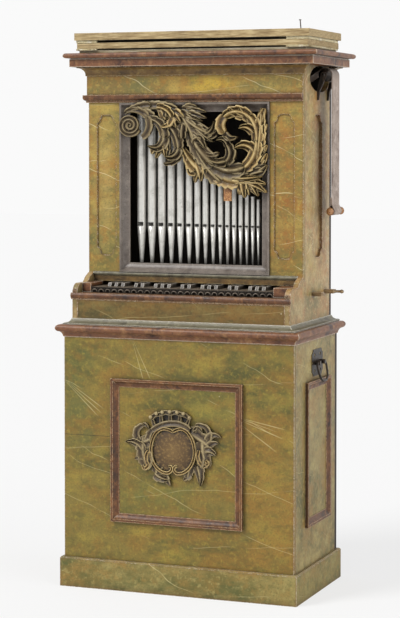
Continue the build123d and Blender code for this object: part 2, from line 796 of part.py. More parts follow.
def between(first, last, share):
    """A size that falls by equal steps of ratio from the first pipe to the last."""
    return first * (last / first) ** share


pipe_shares = [pipe / (PIPE_COUNT - 1) for pipe in range(PIPE_COUNT)]
pipe_steps = [PIPE_PITCH_RATIO**pipe for pipe in range(PIPE_COUNT - 1)]
pipe_first_x = -window_width / 2 + PIPE_LEFT_MARGIN + PIPE_FIRST_RADIUS
pipe_last_x = window_width / 2 - PIPE_RIGHT_MARGIN - PIPE_LAST_RADIUS
first_body = window_top - PIPE_TOP_MARGIN - windchest_z - PIPE_FOOT_LENGTH
last_body = first_body * PIPE_LAST_SHARE
mouth_z = windchest_z + PIPE_FOOT_LENGTH
with BuildPart() as front_pipes:
    for pipe, share in enumerate(pipe_shares):
        pipe_x = pipe_first_x + (pipe_last_x - pipe_first_x) * sum(pipe_steps[:pipe]) / sum(pipe_steps)
        radius = between(PIPE_FIRST_RADIUS, PIPE_LAST_RADIUS, share)
        body_length = between(first_body, last_body, share)
        mouth_height = 2 * radius * MOUTH_HEIGHT_SHARE
        foot_taper = degrees(atan(radius * (1 - PIPE_TIP_SHARE) / PIPE_FOOT_LENGTH))
        with BuildSketch(Plane(origin=(pipe_x, pipe_y, mouth_z), z_dir=(0, 0, -1))):
            RegularPolygon(radius, PIPE_FLATS, major_radius=False)
        extrude(amount=PIPE_FOOT_LENGTH, taper=foot_taper)
        with BuildSketch(Plane(origin=(pipe_x, pipe_y, mouth_z))):
            RegularPolygon(radius, PIPE_FLATS, major_radius=False)
            RegularPolygon(radius - PIPE_WALL, PIPE_FLATS, major_radius=False, mode=Mode.SUBTRACT)
        extrude(amount=body_length)
        with BuildSketch(Plane(origin=(pipe_x, pipe_y, mouth_z), x_dir=(1, 0, 0), z_dir=(0, -1, 0))):
            with Locations((0, mouth_height / 2)):
                Rectangle(radius * MOUTH_WIDTH_SHARE, mouth_height)
        extrude(amount=radius + PIPE_WALL, mode=Mode.SUBTRACT)
finish(front_pipes, "front_pipes")

# Mouldings of the upper case: architrave, frieze, cove, fascia with its crown, cornice board
with BuildPart() as architrave:
    with BuildLine(Plane.XY.offset(architrave_z)):
        Polyline((upper_half, upper_front_y), (-upper_half, upper_front_y), (-upper_half, back_y))
    with BuildSketch(
        Plane(origin=(upper_half, upper_front_y, architrave_z), x_dir=(0, -1, 0), z_dir=(-1, 0, 0))
    ):
        with BuildLine():
            low = ARCHITRAVE_PROJECTION * 0.45
            Polyline((0, ARCHITRAVE_HEIGHT), (0, 0), (low, 0), (low, ARCHITRAVE_HEIGHT * 0.25))
            ThreePointArc(
                (low, ARCHITRAVE_HEIGHT * 0.25),
                (ARCHITRAVE_PROJECTION * 0.86, ARCHITRAVE_HEIGHT * 0.4),
                (ARCHITRAVE_PROJECTION, ARCHITRAVE_HEIGHT * 0.66),
            )
            Polyline(
                (ARCHITRAVE_PROJECTION, ARCHITRAVE_HEIGHT * 0.66),
                (ARCHITRAVE_PROJECTION, ARCHITRAVE_HEIGHT),
                (0, ARCHITRAVE_HEIGHT),
            )
        make_face()
    sweep(transition=Transition.RIGHT)
finish(architrave, "architrave")

frieze_left = -upper_half - FRIEZE_PROUD
with BuildPart() as frieze:
    with BuildSketch(Plane.XY.offset(frieze_bottom)):
        with BuildLine():
            Polyline(
                (upper_half, upper_front_y),
                (upper_half, upper_front_y - FRIEZE_PROUD),
                (frieze_left, upper_front_y - FRIEZE_PROUD),
                (frieze_left, back_y),
                (-upper_half, back_y),
                (-upper_half, upper_front_y),
                close=True,
            )
        make_face()
    extrude(amount=cove_z - frieze_bottom)
finish(frieze, "frieze")


def cove_profile():
    lip = COVE_HEIGHT * 0.12
    Polyline(
        (COVE_PROJECTION, COVE_HEIGHT), (0, COVE_HEIGHT), (0, 0), (FRIEZE_PROUD + lip, 0),
        (FRIEZE_PROUD + lip, lip),
    )
    ThreePointArc(
        (FRIEZE_PROUD + lip, lip),
        (FRIEZE_PROUD + COVE_PROJECTION * 0.28, COVE_HEIGHT * 0.62),
        (COVE_PROJECTION, COVE_HEIGHT - lip),
    )
    Line((COVE_PROJECTION, COVE_HEIGHT - lip), (COVE_PROJECTION, COVE_HEIGHT))


cove_ring = ring_moulding(upper_half, upper_front_y, back_y, cove_z, cove_profile)
cove_cut_end = back_y - COVE_CUT_MARGIN
cove_cut_out = COVE_PROJECTION * 1.5
with BuildPart() as cornice_cove:
    add(cove_ring.part)
    with BuildSketch(Plane.XY.offset(cove_z)):
        with BuildLine():
            Polyline(
                (upper_half, upper_front_y),
                (upper_half + cove_cut_out, upper_front_y - cove_cut_out),
                (upper_half + cove_cut_out, cove_cut_end),
                (upper_half, cove_cut_end),
                close=True,
            )
        make_face()
    extrude(amount=COVE_HEIGHT, mode=Mode.SUBTRACT)
finish(cornice_cove, "cornice_cove")


def cornice_profile():
    groove = CROWN_MOULD_HEIGHT * 0.14
    crown_radius = (CROWN_MOULD_HEIGHT - groove) / 2
    crown_start = CROWN_MOULD_PROJECTION - crown_radius
    top = FASCIA_HEIGHT + CROWN_MOULD_HEIGHT
    Polyline(
        (0, top),
        (0, 0),
        (FASCIA_PROJECTION, 0),
        (FASCIA_PROJECTION, FASCIA_HEIGHT),
        (FASCIA_PROJECTION - groove, FASCIA_HEIGHT),
        (FASCIA_PROJECTION - groove, FASCIA_HEIGHT + groove),
        (crown_start, FASCIA_HEIGHT + groove),
    )
    ThreePointArc(
        (crown_start, FASCIA_HEIGHT + groove),
        (CROWN_MOULD_PROJECTION, FASCIA_HEIGHT + groove + crown_radius),
        (crown_start, top),
    )
    Line((crown_start, top), (0, top))


main_cornice = ring_moulding(upper_half, upper_front_y, back_y, fascia_z, cornice_profile)
finish(main_cornice, "main_cornice")
cornice_board = board(
    (-upper_half, upper_half), (upper_front_y, back_y), (crown_z, cornice_top)
)
finish(cornice_board, "cornice_board")

# Bellows: base board, two leather folds either side of a middle frame, top board and its pin
bellows_front = front_y + BELLOWS_SETBACK
bellows_back = back_y + BELLOWS_BACK_OVERHANG
bellows_half = upper_half + BELLOWS_OVERHANG
base_half = bellows_half - BASE_INSET
base_y = (bellows_front + BASE_INSET, bellows_back - BASE_INSET)
bellows_base = board((-base_half, base_half), base_y, (cornice_top, cornice_top + BELLOWS_BASE))
finish(bellows_base, "bellows_base")


def fold(z, height):
    """A leather fold between two boards, folded inward all round."""

    def fold_profile():
        Polyline(
            (0, 0),
            (0, FOLD_LEATHER),
            (-FOLD_DEPTH, height / 2),
            (0, height - FOLD_LEATHER),
            (0, height),
            (-FOLD_DEPTH - 2 * FOLD_LEATHER, height / 2),
            close=True,
        )

    return ring_moulding(base_half, base_y[0], base_y[1], z, fold_profile)


lower_fold_z = cornice_top + BELLOWS_BASE
bellows_lower_fold = fold(lower_fold_z, LOWER_FOLD_HEIGHT)
finish(bellows_lower_fold, "bellows_lower_fold")
middle_z = lower_fold_z + LOWER_FOLD_HEIGHT
middle_half = bellows_half - MIDDLE_FRAME_INSET
middle_y = (bellows_front + MIDDLE_FRAME_INSET, bellows_back - MIDDLE_FRAME_INSET)
with BuildPart() as bellows_middle_frame:
    with BuildSketch(Plane.XY.offset(middle_z)):
        with Locations((0, (middle_y[0] + middle_y[1]) / 2)):
            Rectangle(2 * middle_half, middle_y[1] - middle_y[0])
            Rectangle(
                2 * (middle_half - MIDDLE_FRAME_BAR),
                middle_y[1] - middle_y[0] - 2 * MIDDLE_FRAME_BAR,
                mode=Mode.SUBTRACT,
            )
    extrude(amount=MIDDLE_FRAME_HEIGHT)
finish(bellows_middle_frame, "bellows_middle_frame")
upper_fold_z = middle_z + MIDDLE_FRAME_HEIGHT
bellows_upper_fold = fold(upper_fold_z, UPPER_FOLD_HEIGHT)
finish(bellows_upper_fold, "bellows_upper_fold")
top_board_z = upper_fold_z + UPPER_FOLD_HEIGHT
bellows_top_board = board(
    (-bellows_half, bellows_half), (bellows_front, bellows_back), (top_board_z, top_board_z + TOP_BOARD)
)
finish(bellows_top_board, "bellows_top_board")

pin_place = (bellows_half - PIN_INSET_X, bellows_front + PIN_INSET_Y)
pin_lean = tan(radians(PIN_TILT))
pin_z = top_board_z + TOP_BOARD
with BuildPart() as iron_pin:
    with BuildSketch(Plane.XY.offset(pin_z)):
        with Locations(pin_place):
            Circle(PIN_RADIUS)
    extrude(amount=PIN_HEIGHT, dir=(-pin_lean, 0, 1))
    with BuildSketch(Plane.XY.offset(pin_z + PIN_HEIGHT - PIN_HEAD)):
        with Locations((pin_place[0] - pin_lean * PIN_HEIGHT, pin_place[1])):
            Circle(PIN_HEAD_RADIUS)
    extrude(amount=PIN_HEAD)
finish(iron_pin, "iron_pin")

# Roller on its two arms, the strap over it and the turned toggle at the strap's end
roller_front = roller_y - ROLLER_LENGTH / 2
roller_back = roller_y + ROLLER_LENGTH / 2
axle_reach = ARM_GAP + ARM_THICKNESS + AXLE_END
with BuildPart() as roller:
    with BuildSketch(Plane.XZ.offset(-roller_front)):
        with Locations((roller_x, roller_z)):
            Circle(ROLLER_RADIUS)
    extrude(amount=-ROLLER_LENGTH)
    with BuildSketch(Plane.XZ.offset(-roller_front + axle_reach)):
        with Locations((roller_x, roller_z)):
            Circle(AXLE_RADIUS)
    extrude(amount=-ROLLER_LENGTH - 2 * axle_reach)
finish(roller, "roller")

arm_foot_top = roller_z - ARM_REACH
with BuildPart() as roller_arms:
    for arm_y in (roller_front - ARM_GAP, roller_back + ARM_GAP + ARM_THICKNESS):
        with BuildSketch(Plane.XZ.offset(-arm_y)):
            with BuildLine():
                Polyline(
                    (upper_half, arm_foot_top),
                    (upper_half, arm_foot_top - ARM_FOOT),
                    (upper_half + ARM_FOOT_THICKNESS, arm_foot_top - ARM_FOOT),
                    (upper_half + ARM_FOOT_THICKNESS + ARM_WIDTH * 0.3, arm_foot_top),
                    (roller_x + ARM_EYE_RADIUS * 0.95, roller_z - ARM_EYE_RADIUS * 0.3),
                    (roller_x - ARM_EYE_RADIUS * 0.95, roller_z + ARM_EYE_RADIUS * 0.3),
                    close=True,
                )
            make_face()
            with Locations((roller_x, roller_z)):
                Circle(ARM_EYE_RADIUS)
                Circle(AXLE_RADIUS + AXLE_PLAY, mode=Mode.SUBTRACT)
        extrude(amount=ARM_THICKNESS)
finish(roller_arms, "roller_arms")

strap_radius = ROLLER_RADIUS + STRAP_CLEARANCE + STRAP_THICKNESS / 2
loop_radius = TOGGLE_RADIUS + STRAP_CLEARANCE + STRAP_THICKNESS / 2
ply_offset = (STRAP_THICKNESS + STRAP_PLY_GAP) / 2
strap_x = roller_x + strap_radius
toggle_x = strap_x - ply_offset
toggle_z = roller_z - STRAP_DROP
lap, half_lap, loop_angle = (radians(a) for a in (STRAP_LAP_ANGLE, STRAP_LAP_ANGLE / 2, STRAP_LOOP_ANGLE))
lap_end = (roller_x + strap_radius * cos(lap), roller_z + strap_radius * sin(lap))
lap_middle = (roller_x + strap_radius * cos(half_lap), roller_z + strap_radius * sin(half_lap))
tail_end = (lap_end[0] - STRAP_TAIL * sin(lap), lap_end[1] + STRAP_TAIL * cos(lap))
loop_x, loop_z = loop_radius * cos(loop_angle), loop_radius * sin(loop_angle)
ply_z = toggle_z + loop_z + (loop_x - ply_offset) / tan(loop_angle)
with BuildPart() as pull_strap:
    with BuildSketch(Plane.XZ.offset(-roller_y)):
        with BuildLine():
            Line(tail_end, lap_end)
            ThreePointArc(lap_end, lap_middle, (strap_x, roller_z))
            Polyline((strap_x, roller_z), (strap_x, ply_z), (toggle_x + loop_x, toggle_z + loop_z))
            ThreePointArc(
                (toggle_x + loop_x, toggle_z + loop_z),
                (toggle_x, toggle_z - loop_radius),
                (toggle_x - loop_x, toggle_z + loop_z),
            )
            Polyline(
                (toggle_x - loop_x, toggle_z + loop_z),
                (toggle_x - ply_offset, ply_z),
                (toggle_x - ply_offset, ply_z + STRAP_FLAP),
            )
        trace(line_width=STRAP_THICKNESS)
    extrude(amount=STRAP_WIDTH / 2, both=True)
finish(pull_strap, "pull_strap")

toggle_stem = STRAP_WIDTH / 2 + TOGGLE_SHIFT
toggle_middle = toggle_stem + TOGGLE_BALL_RADIUS
toggle_sections = (
    (0, toggle_stem, TOGGLE_RADIUS, TOGGLE_RADIUS),
    (toggle_stem, TOGGLE_BALL_RADIUS, TOGGLE_NECK_RADIUS, TOGGLE_BALL_RADIUS),
    (toggle_middle, TOGGLE_BALL_RADIUS, TOGGLE_BALL_RADIUS, TOGGLE_NECK_RADIUS),
)
with BuildPart() as toggle:
    for side in (1, -1):
        for start, length, first_radius, last_radius in toggle_sections:
            section_y = roller_y + TOGGLE_SHIFT + side * start
            with BuildSketch(Plane(origin=(toggle_x, section_y, toggle_z), z_dir=(0, side, 0))):
                RegularPolygon(first_radius, TOGGLE_FLATS)
            extrude(amount=length, taper=degrees(atan((first_radius - last_radius) / length)))
finish(toggle, "toggle")

# Stop levers that slide through the right side; the rear one ends in a turned knob
bar_middle = upper_half + (LEVER_BAR_OUT - LEVER_INSIDE) / 2
bar_end = upper_half + LEVER_BAR_OUT
knob_start = bar_end + LEVER_NECK
knob_profile = (
    (bar_end - LEVER_CHAMFER, 0),
    (bar_end - LEVER_CHAMFER, LEVER_NECK_RADIUS),
    (knob_start, LEVER_NECK_RADIUS),
    (knob_start + LEVER_KNOB_LENGTH * 0.5, LEVER_KNOB_RADIUS),
    (knob_start + LEVER_KNOB_LENGTH, LEVER_KNOB_RADIUS * 0.5),
    (knob_start + LEVER_KNOB_LENGTH, 0),
)
for lever_name, lever_y in lever_places.items():
    with BuildPart() as lever:
        with BuildSketch(Plane.XY.offset(lever_z)):
            with Locations((bar_middle, lever_y)):
                Rectangle(LEVER_BAR_OUT + LEVER_INSIDE, LEVER_WIDTH)
        extrude(amount=LEVER_THICKNESS / 2, both=True)
        chamfer(lever.faces().sort_by(Axis.X)[-1].edges(), LEVER_CHAMFER)
        if lever_name == "rear":
            with BuildSketch(Plane(origin=(0, lever_y, lever_z))):
                with BuildLine():
                    Polyline(*knob_profile, close=True)
                make_face()
            revolve(axis=Axis((0, lever_y, lever_z), (1, 0, 0)))
    finish(lever, f"stop_lever_{lever_name}")

# Carrying handles: pierced plates with two eyes each, and a drop bail that turns in the eyes
handle_x = lower_half + HANDLE_STANDOFF
with BuildPart() as handle_plates:
    for side in (1, -1):
        plate_plane = Plane(
            origin=(side * lower_half, HANDLE_SHIFT, HANDLE_PIVOT_Z), x_dir=(0, side, 0), z_dir=(side, 0, 0)
        )
        with BuildSketch(plate_plane):
            Rectangle(HANDLE_PLATE_WIDTH, HANDLE_PLATE_HEIGHT)
            with GridLocations(HANDLE_PLATE_WIDTH, HANDLE_PLATE_HEIGHT, 2, 2):
                Circle(HANDLE_PLATE_CORNER, mode=Mode.SUBTRACT)
            with GridLocations(HANDLE_PLATE_WIDTH / 2, HANDLE_PLATE_HEIGHT * 0.6, 2, 2):
                Rectangle(HANDLE_PIERCING, HANDLE_PIERCING, rotation=45, mode=Mode.SUBTRACT)
            with GridLocations(HANDLE_PLATE_WIDTH * 0.84, 0, 2, 1):
                Rectangle(HANDLE_PIERCING, HANDLE_PIERCING, rotation=45, mode=Mode.SUBTRACT)
        extrude(amount=HANDLE_PLATE)
        with BuildSketch(plate_plane):
            with GridLocations(HANDLE_POST_SPAN, 0, 2, 1):
                RegularPolygon(HANDLE_POST_RADIUS, 8, major_radius=False)
        extrude(amount=HANDLE_STANDOFF + HANDLE_POST_END)
        with BuildSketch(Plane.XZ.offset(-HANDLE_SHIFT)):
            with Locations((side * handle_x, HANDLE_PIVOT_Z)):
                Circle(HANDLE_BAR_RADIUS + HANDLE_BAR_PLAY)
        extrude(amount=HANDLE_PLATE_WIDTH / 2, both=True, mode=Mode.SUBTRACT)
finish(handle_plates, "handle_plates")

half_span = HANDLE_SPAN / 2
pin_u = HANDLE_POST_SPAN / 2 - HANDLE_POST_RADIUS
half_bail = (
    (pin_u, 0),
    (half_span - HANDLE_BEND, 0),
    (half_span, -HANDLE_BEND),
    (half_span * 0.95, -HANDLE_DROP * 0.55),
    (half_span * 0.76, -HANDLE_DROP * 0.85),
    (half_span * 0.4, -HANDLE_DROP),
)
for side, side_name in ((1, "right"), (-1, "left")):
    bail_plane = Plane(
        origin=(side * handle_x, HANDLE_SHIFT, HANDLE_PIVOT_Z),
        x_dir=(0, 1, 0),
        z_dir=(cos(radians(HANDLE_LEAN)), 0, side * sin(radians(HANDLE_LEAN))),
    )
    with BuildPart() as bail:
        with BuildLine(bail_plane):
            Polyline(*half_bail, *((-u, v) for u, v in reversed(half_bail)))
        with BuildSketch(Plane(
            origin=bail_plane.from_local_coords(Vector(pin_u, 0, 0)), x_dir=(1, 0, 0), z_dir=(0, 1, 0)
        )):
            RegularPolygon(HANDLE_BAR_RADIUS, 8)
        sweep(transition=Transition.RIGHT)
    finish(bail, f"handle_bail_{side_name}")

# Carved pipe shade: stems and leaves in openwork against the window frame, with raised veins and a volute
shade_back = Plane(
    origin=(0, upper_front_y - WINDOW_FRAME_PROUD, window_z), x_dir=(1, 0, 0), z_dir=(0, -1, 0)
)
shade_step_x, shade_step_z = window_width / 200, WINDOW_HEIGHT / 200
shade_stems = [
    [(across * shade_step_x, up * shade_step_z, width, bulge) for across, up, width, bulge in stem]
    for stem in SHADE_STEMS
]
volute_place = (VOLUTE_ACROSS * shade_step_x, VOLUTE_UP * shade_step_z)


def draw_stems(share):
    """Draws the stems of the shade at a share of their width, rounded where two arcs meet."""
    for stem in shade_stems:
        for (x0, z0, width_0, bulge), (x1, z1, width_1, _) in zip(stem, stem[1:]):
            band((x0, z0), (x1, z1), width_0 * share, width_1 * share, bulge)
        if share == 1:
            for x, z, width, _ in stem[1:-1]:
                with Locations((x, z)):
                    RegularPolygon(width / 2, JOINT_FLATS)


def draw_leaves(leaves, step_x, step_z):
    """Draws leaves from a list of roots and tips, counted in steps across and up."""
    for across, up, tip_across, tip_up, width, bulge in leaves:
        root, tip = (across * step_x, up * step_z), (tip_across * step_x, tip_up * step_z)
        band(root, tip, width, LEAF_TIP, bulge)


with BuildPart() as pipe_shade:
    with BuildSketch(shade_back):
        draw_stems(1)
        draw_leaves(SHADE_LEAVES, shade_step_x, shade_step_z)
        with Locations(volute_place):
            Circle(VOLUTE_RADIUS)
    extrude(amount=SHADE_GROUND)
    with BuildSketch(shade_back):
        draw_stems(RELIEF_SHARE)
        with Locations(volute_place):
            Circle(VOLUTE_RADIUS)
            Circle(VOLUTE_RADIUS - VOLUTE_BAND, mode=Mode.SUBTRACT)
            Circle(VOLUTE_EYE)
    extrude(amount=SHADE_GROUND + SHADE_RELIEF)
finish(pipe_shade, "pipe_shade")
with BuildPart() as repair_tab:
    with BuildSketch(shade_back):
        with Locations((TAB_SHARE * window_width / 2, 0)):
            Rectangle(TAB_WIDTH, TAB_HEIGHT)
    extrude(amount=-TAB_THICKNESS)
finish(repair_tab, "repair_tab")

# Cartouche: a shield with a rolled rim, two volutes under it and a sunk field, leaves round it, a crown above
cartouche_back = Plane(origin=(CARTOUCHE_X, front_y, CARTOUCHE_Z), x_dir=(1, 0, 0), z_dir=(0, -1, 0))
leaf_step_x, leaf_step_z = SHIELD_WIDTH / 200, SHIELD_HEIGHT / 200


def draw_shield(width, height):
    """Draws a shield: a low double arch at the top, full sides and two lobes at the foot."""
    half, foot = width / 2, -height / 2
    for s in (1, -1):
        ThreePointArc((0, height * 0.46), (s * half * 0.36, height * 0.5), (s * half * 0.7, height * 0.42))
        ThreePointArc((s * half * 0.7, height * 0.42), (s * half, 0), (s * half * 0.72, foot * 0.72))
        ThreePointArc((s * half * 0.72, foot * 0.72), (s * half * 0.36, foot), (0, foot * 0.8))


with BuildPart() as cartouche:
    with BuildSketch(cartouche_back):
        draw_leaves(CARTOUCHE_LEAVES, leaf_step_x, leaf_step_z)
        mirror(about=Plane.YZ)
    extrude(amount=LEAF_THICKNESS)
    with BuildSketch(cartouche_back):
        with BuildLine():
            draw_shield(SHIELD_WIDTH, SHIELD_HEIGHT)
        make_face()
    extrude(amount=SHIELD_THICKNESS)
    with BuildSketch(cartouche_back.offset(SHIELD_THICKNESS)):
        with BuildLine():
            draw_shield(SHIELD_WIDTH - 2 * SHIELD_RIM, SHIELD_HEIGHT - 2 * SHIELD_RIM)
        make_face()
    extrude(amount=-FIELD_DEPTH, mode=Mode.SUBTRACT)
finish(cartouche, "cartouche")

crown_foot = SHIELD_HEIGHT / 2 - CROWN_BAND / 2
with BuildPart() as crown:
    with BuildSketch(cartouche_back):
        band(
            (-CROWN_WIDTH / 2, crown_foot), (CROWN_WIDTH / 2, crown_foot), CROWN_BAND, CROWN_BAND, CROWN_ARCH
        )
        for lobe in range(CROWN_LOBES):
            share = 2 * lobe / (CROWN_LOBES - 1) - 1
            lobe_place = (share * CROWN_WIDTH * 0.46, crown_foot + CROWN_ARCH + CROWN_RISE * (1 - share**2 / 2))
            band((share * CROWN_WIDTH * 0.36, crown_foot + CROWN_ARCH), lobe_place, CROWN_LOBE, CROWN_LOBE, 0)
            with Locations(lobe_place):
                Circle(CROWN_LOBE)
                RegularPolygon(CROWN_HOLE, 6, mode=Mode.SUBTRACT)
    extrude(amount=CROWN_THICKNESS)
    add(cartouche.part, mode=Mode.SUBTRACT)
finish(crown, "crown")
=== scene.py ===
# %% [markdown]
# A small organ stands in a white studio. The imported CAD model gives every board, moulding, key and pipe its
# true place. This script adds the camera, the light, the paints and metals, and the carving that is too fine
# for the CAD solids.

# %% Load the fixed frame
import math

import bmesh
import bpy
from mathutils import Matrix, Vector


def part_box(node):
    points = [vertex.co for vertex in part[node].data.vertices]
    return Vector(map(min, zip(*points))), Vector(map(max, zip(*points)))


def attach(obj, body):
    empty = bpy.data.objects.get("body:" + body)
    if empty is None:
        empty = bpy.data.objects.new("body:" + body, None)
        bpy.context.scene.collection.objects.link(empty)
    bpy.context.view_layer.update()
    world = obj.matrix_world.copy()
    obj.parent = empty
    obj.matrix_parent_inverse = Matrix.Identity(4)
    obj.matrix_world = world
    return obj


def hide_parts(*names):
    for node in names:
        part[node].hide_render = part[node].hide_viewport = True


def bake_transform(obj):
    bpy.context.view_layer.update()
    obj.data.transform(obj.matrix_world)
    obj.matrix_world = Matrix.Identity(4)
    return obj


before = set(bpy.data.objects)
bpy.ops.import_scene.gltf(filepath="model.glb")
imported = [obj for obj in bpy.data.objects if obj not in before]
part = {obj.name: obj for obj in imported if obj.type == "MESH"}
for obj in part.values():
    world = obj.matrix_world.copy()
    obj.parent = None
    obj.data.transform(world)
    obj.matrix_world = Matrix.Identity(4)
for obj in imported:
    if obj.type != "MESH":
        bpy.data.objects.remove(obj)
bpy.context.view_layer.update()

MM = 0.001
print("pieces from the CAD model:", len(part))

# %% [markdown]
# Colours are written as the sRGB hex values that a painter would read off the object. Blender's shaders work
# in linear light, so one function turns them over. A second one adds any shader node, sets it up, links or
# fills its inputs and gives back the output that is wanted, so that each finish below reads as a list of
# layers.


# %% Two helpers for every finish
def linear(hex_colour):
    channels = []
    for start in (1, 3, 5):
        value = int(hex_colour[start : start + 2], 16) / 255
        channels.append(value / 12.92 if value <= 0.04045 else ((value + 0.055) / 1.055) ** 2.4)
    return (*channels, 1.0)


def add(tree, kind, inputs, stops=(), out=0, **settings):
    """Adds a node. Hex colours are turned to linear, and stops fill a colour ramp."""
    node = tree.nodes.new(kind)
    for name, value in settings.items():
        setattr(node, name, value)
    while len(stops) > len(node.color_ramp.elements if stops else ()):
        node.color_ramp.elements.new(0.5)
    for number, (position, colour) in enumerate(stops):
        element = node.color_ramp.elements[number]
        element.position, element.color = position, linear(colour)
    for name, value in inputs.items():
        if isinstance(value, bpy.types.NodeSocket):
            tree.links.new(value, node.inputs[name])
        else:
            node.inputs[name].default_value = linear(value) if isinstance(value, str) else value
    return node.outputs[out]


# %% [markdown]
# A painter works in layers: a ground, then glazes that cover it here and there. A mask says where. Most masks
# here are clouds of a stated size in millimetres. Two more come from the shape itself: the Bevel node bends
# the normal near an edge, so its difference from the true normal marks every arris, where hands and dusters
# rub, and Ambient Occlusion marks the corners and hollows, where dirt settles and shade falls, so what it
# darkens there is dirt and painted shade in one. The last is a box with soft borders, for a tint, a crack or
# a painted shade that belongs in one place.


# %% Layers and masks
def clouds(tree, place, size_mm, start, end, detail=5):
    """Soft patches of about this size: 0 outside them, 1 within."""
    pattern = {"Vector": place, "Scale": 1000 / size_mm, "Detail": detail, "Roughness": 0.65}
    drift = add(tree, "ShaderNodeTexNoise", pattern)
    return add(tree, "ShaderNodeMapRange", {"Value": drift, "From Min": start, "From Max": end})


def glaze(tree, under, colour, mask, strength=1.0):
    """A coat of colour over what lies under it, as far as the mask lets it show."""
    amount = add(tree, "ShaderNodeMath", {0: mask, 1: strength}, operation="MULTIPLY", use_clamp=True)
    return add(tree, "ShaderNodeMix", {0: amount, 6: under, 7: colour}, out=2, data_type="RGBA")


def worn_edges(tree, place, reach_mm, patch_mm, amount):
    """Broken patches along the edges. A higher amount leaves fewer."""
    bent = add(tree, "ShaderNodeBevel", {"Radius": reach_mm * MM}, samples=4)
    true = add(tree, "ShaderNodeNewGeometry", {}, out="Normal")
    same = add(tree, "ShaderNodeVectorMath", {0: bent, 1: true}, out="Value", operation="DOT_PRODUCT")
    edge = add(tree, "ShaderNodeMapRange", {"Value": same, "From Min": 1.0, "From Max": 0.9})
    broken = clouds(tree, place, patch_mm, 0.0, 1.0, detail=4)
    both = add(tree, "ShaderNodeMath", {0: edge, 1: broken}, operation="MULTIPLY")
    return add(tree, "ShaderNodeMapRange", {"Value": both, "From Min": amount, "From Max": amount + 0.05})


def dirt_and_shade_in_corners(tree, reach_mm, clean=0.85, black=0.2):
    """Dirt and painted shade in hollows, from where a share `clean` of the sky is open down to where only
    `black` is.
    """
    open_sky = add(tree, "ShaderNodeAmbientOcclusion", {"Distance": reach_mm * MM}, out="AO", samples=8)
    return add(tree, "ShaderNodeMapRange", {"Value": open_sky, "From Min": clean, "From Max": black})


def inside(tree, place, low, high, soft_mm=12):
    """1 within a box of object coordinates in metres, falling to 0 over a soft border."""
    total = None
    for axis, (start, end) in enumerate(zip(low, high)):
        level = add(tree, "ShaderNodeSeparateXYZ", {0: place}, out=axis)
        for edge, way in ((start, 1), (end, -1)):
            reach = way * soft_mm * MM
            border = {"Value": level, "From Min": edge - reach, "From Max": edge + reach}
            side = add(tree, "ShaderNodeMapRange", border)
            if total is None:
                total = side
            else:
                total = add(tree, "ShaderNodeMath", {0: total, 1: side}, operation="MINIMUM")
    return total


def finish(name, build):
    """A material. Its build function gets the tree and object coordinates, and gives the shader's values.

    "Bump" stands for a height, its strength and its depth in millimetres.
    """
    material = bpy.data.materials.new(name)
    material.use_nodes = True
    tree = material.node_tree
    shader = tree.nodes["Principled BSDF"]
    values = build(tree, add(tree, "ShaderNodeTexCoord", {}, out="Object"))
    if "Bump" in values:
        height, strength, depth_mm = values.pop("Bump")
        relief = {"Height": height, "Strength": strength, "Distance": depth_mm * MM}
        values["Normal"] = add(tree, "ShaderNodeBump", relief, out="Normal")
    for socket, value in values.items():
        if isinstance(value, bpy.types.NodeSocket):
            tree.links.new(value, shader.inputs[socket])
        else:
            shader.inputs[socket].default_value = value
    return material


def put_on(material, *names):
    for name in names:
        part[name].data.materials.clear()
        part[name].data.materials.append(material)


# %% [markdown]
# The case is softwood under a paint that imitates an olive marble: clouds of olive, ochre and brown laid wet
# into each other on the slant, then pale hairlines struck across them, and an old varnish with an uneven
# sheen. A hairline is the crest of a triangle wave, cut off so near the top that about 2 mm of it is left. A
# patchy mask breaks each line, so that none crosses a whole board. Where the lines spread in a fan, a colour
# ramp over the angle round one point draws them.


# %% Painted marbling
WAVE_REPEAT_MM = 314  # of a wave texture whose scale is 1
FAN_LINE_DEGREES = 0.7  # from the middle of a line in a fan to its edge
# Three sets of hairlines: how far apart they lie in millimetres, how a set is turned, how thick they are.
HAIRLINE_SETS = ((230, (0, 0.85, 0.6), 2.6), (300, (0, -0.8, -0.5), 2.4), (390, (0.3, 0.15, 0.9), 2.4))


def hairlines(tree, place, spread_mm, turn, width_mm, shift):
    """Thin, nearly straight lines, spread_mm apart and width_mm thick, broken up."""
    turned = add(tree, "ShaderNodeMapping", {"Vector": place, "Rotation": turn, "Location": (shift, 0, 0)})
    wave = add(
        tree,
        "ShaderNodeTexWave",
        {
            "Vector": turned, "Scale": WAVE_REPEAT_MM / spread_mm,
            "Distortion": 1.6, "Detail": 3.0, "Detail Scale": 2.2,
        },
        out="Fac",
        wave_profile="TRI",
    )
    crest = 1 - width_mm / spread_mm
    line = add(tree, "ShaderNodeMapRange", {"Value": wave, "From Min": crest, "From Max": (1 + crest) / 2})
    patches = clouds(tree, turned, 260, 0.5, 0.56, detail=2)
    return add(tree, "ShaderNodeMath", {0: line, 1: patches}, operation="MULTIPLY")


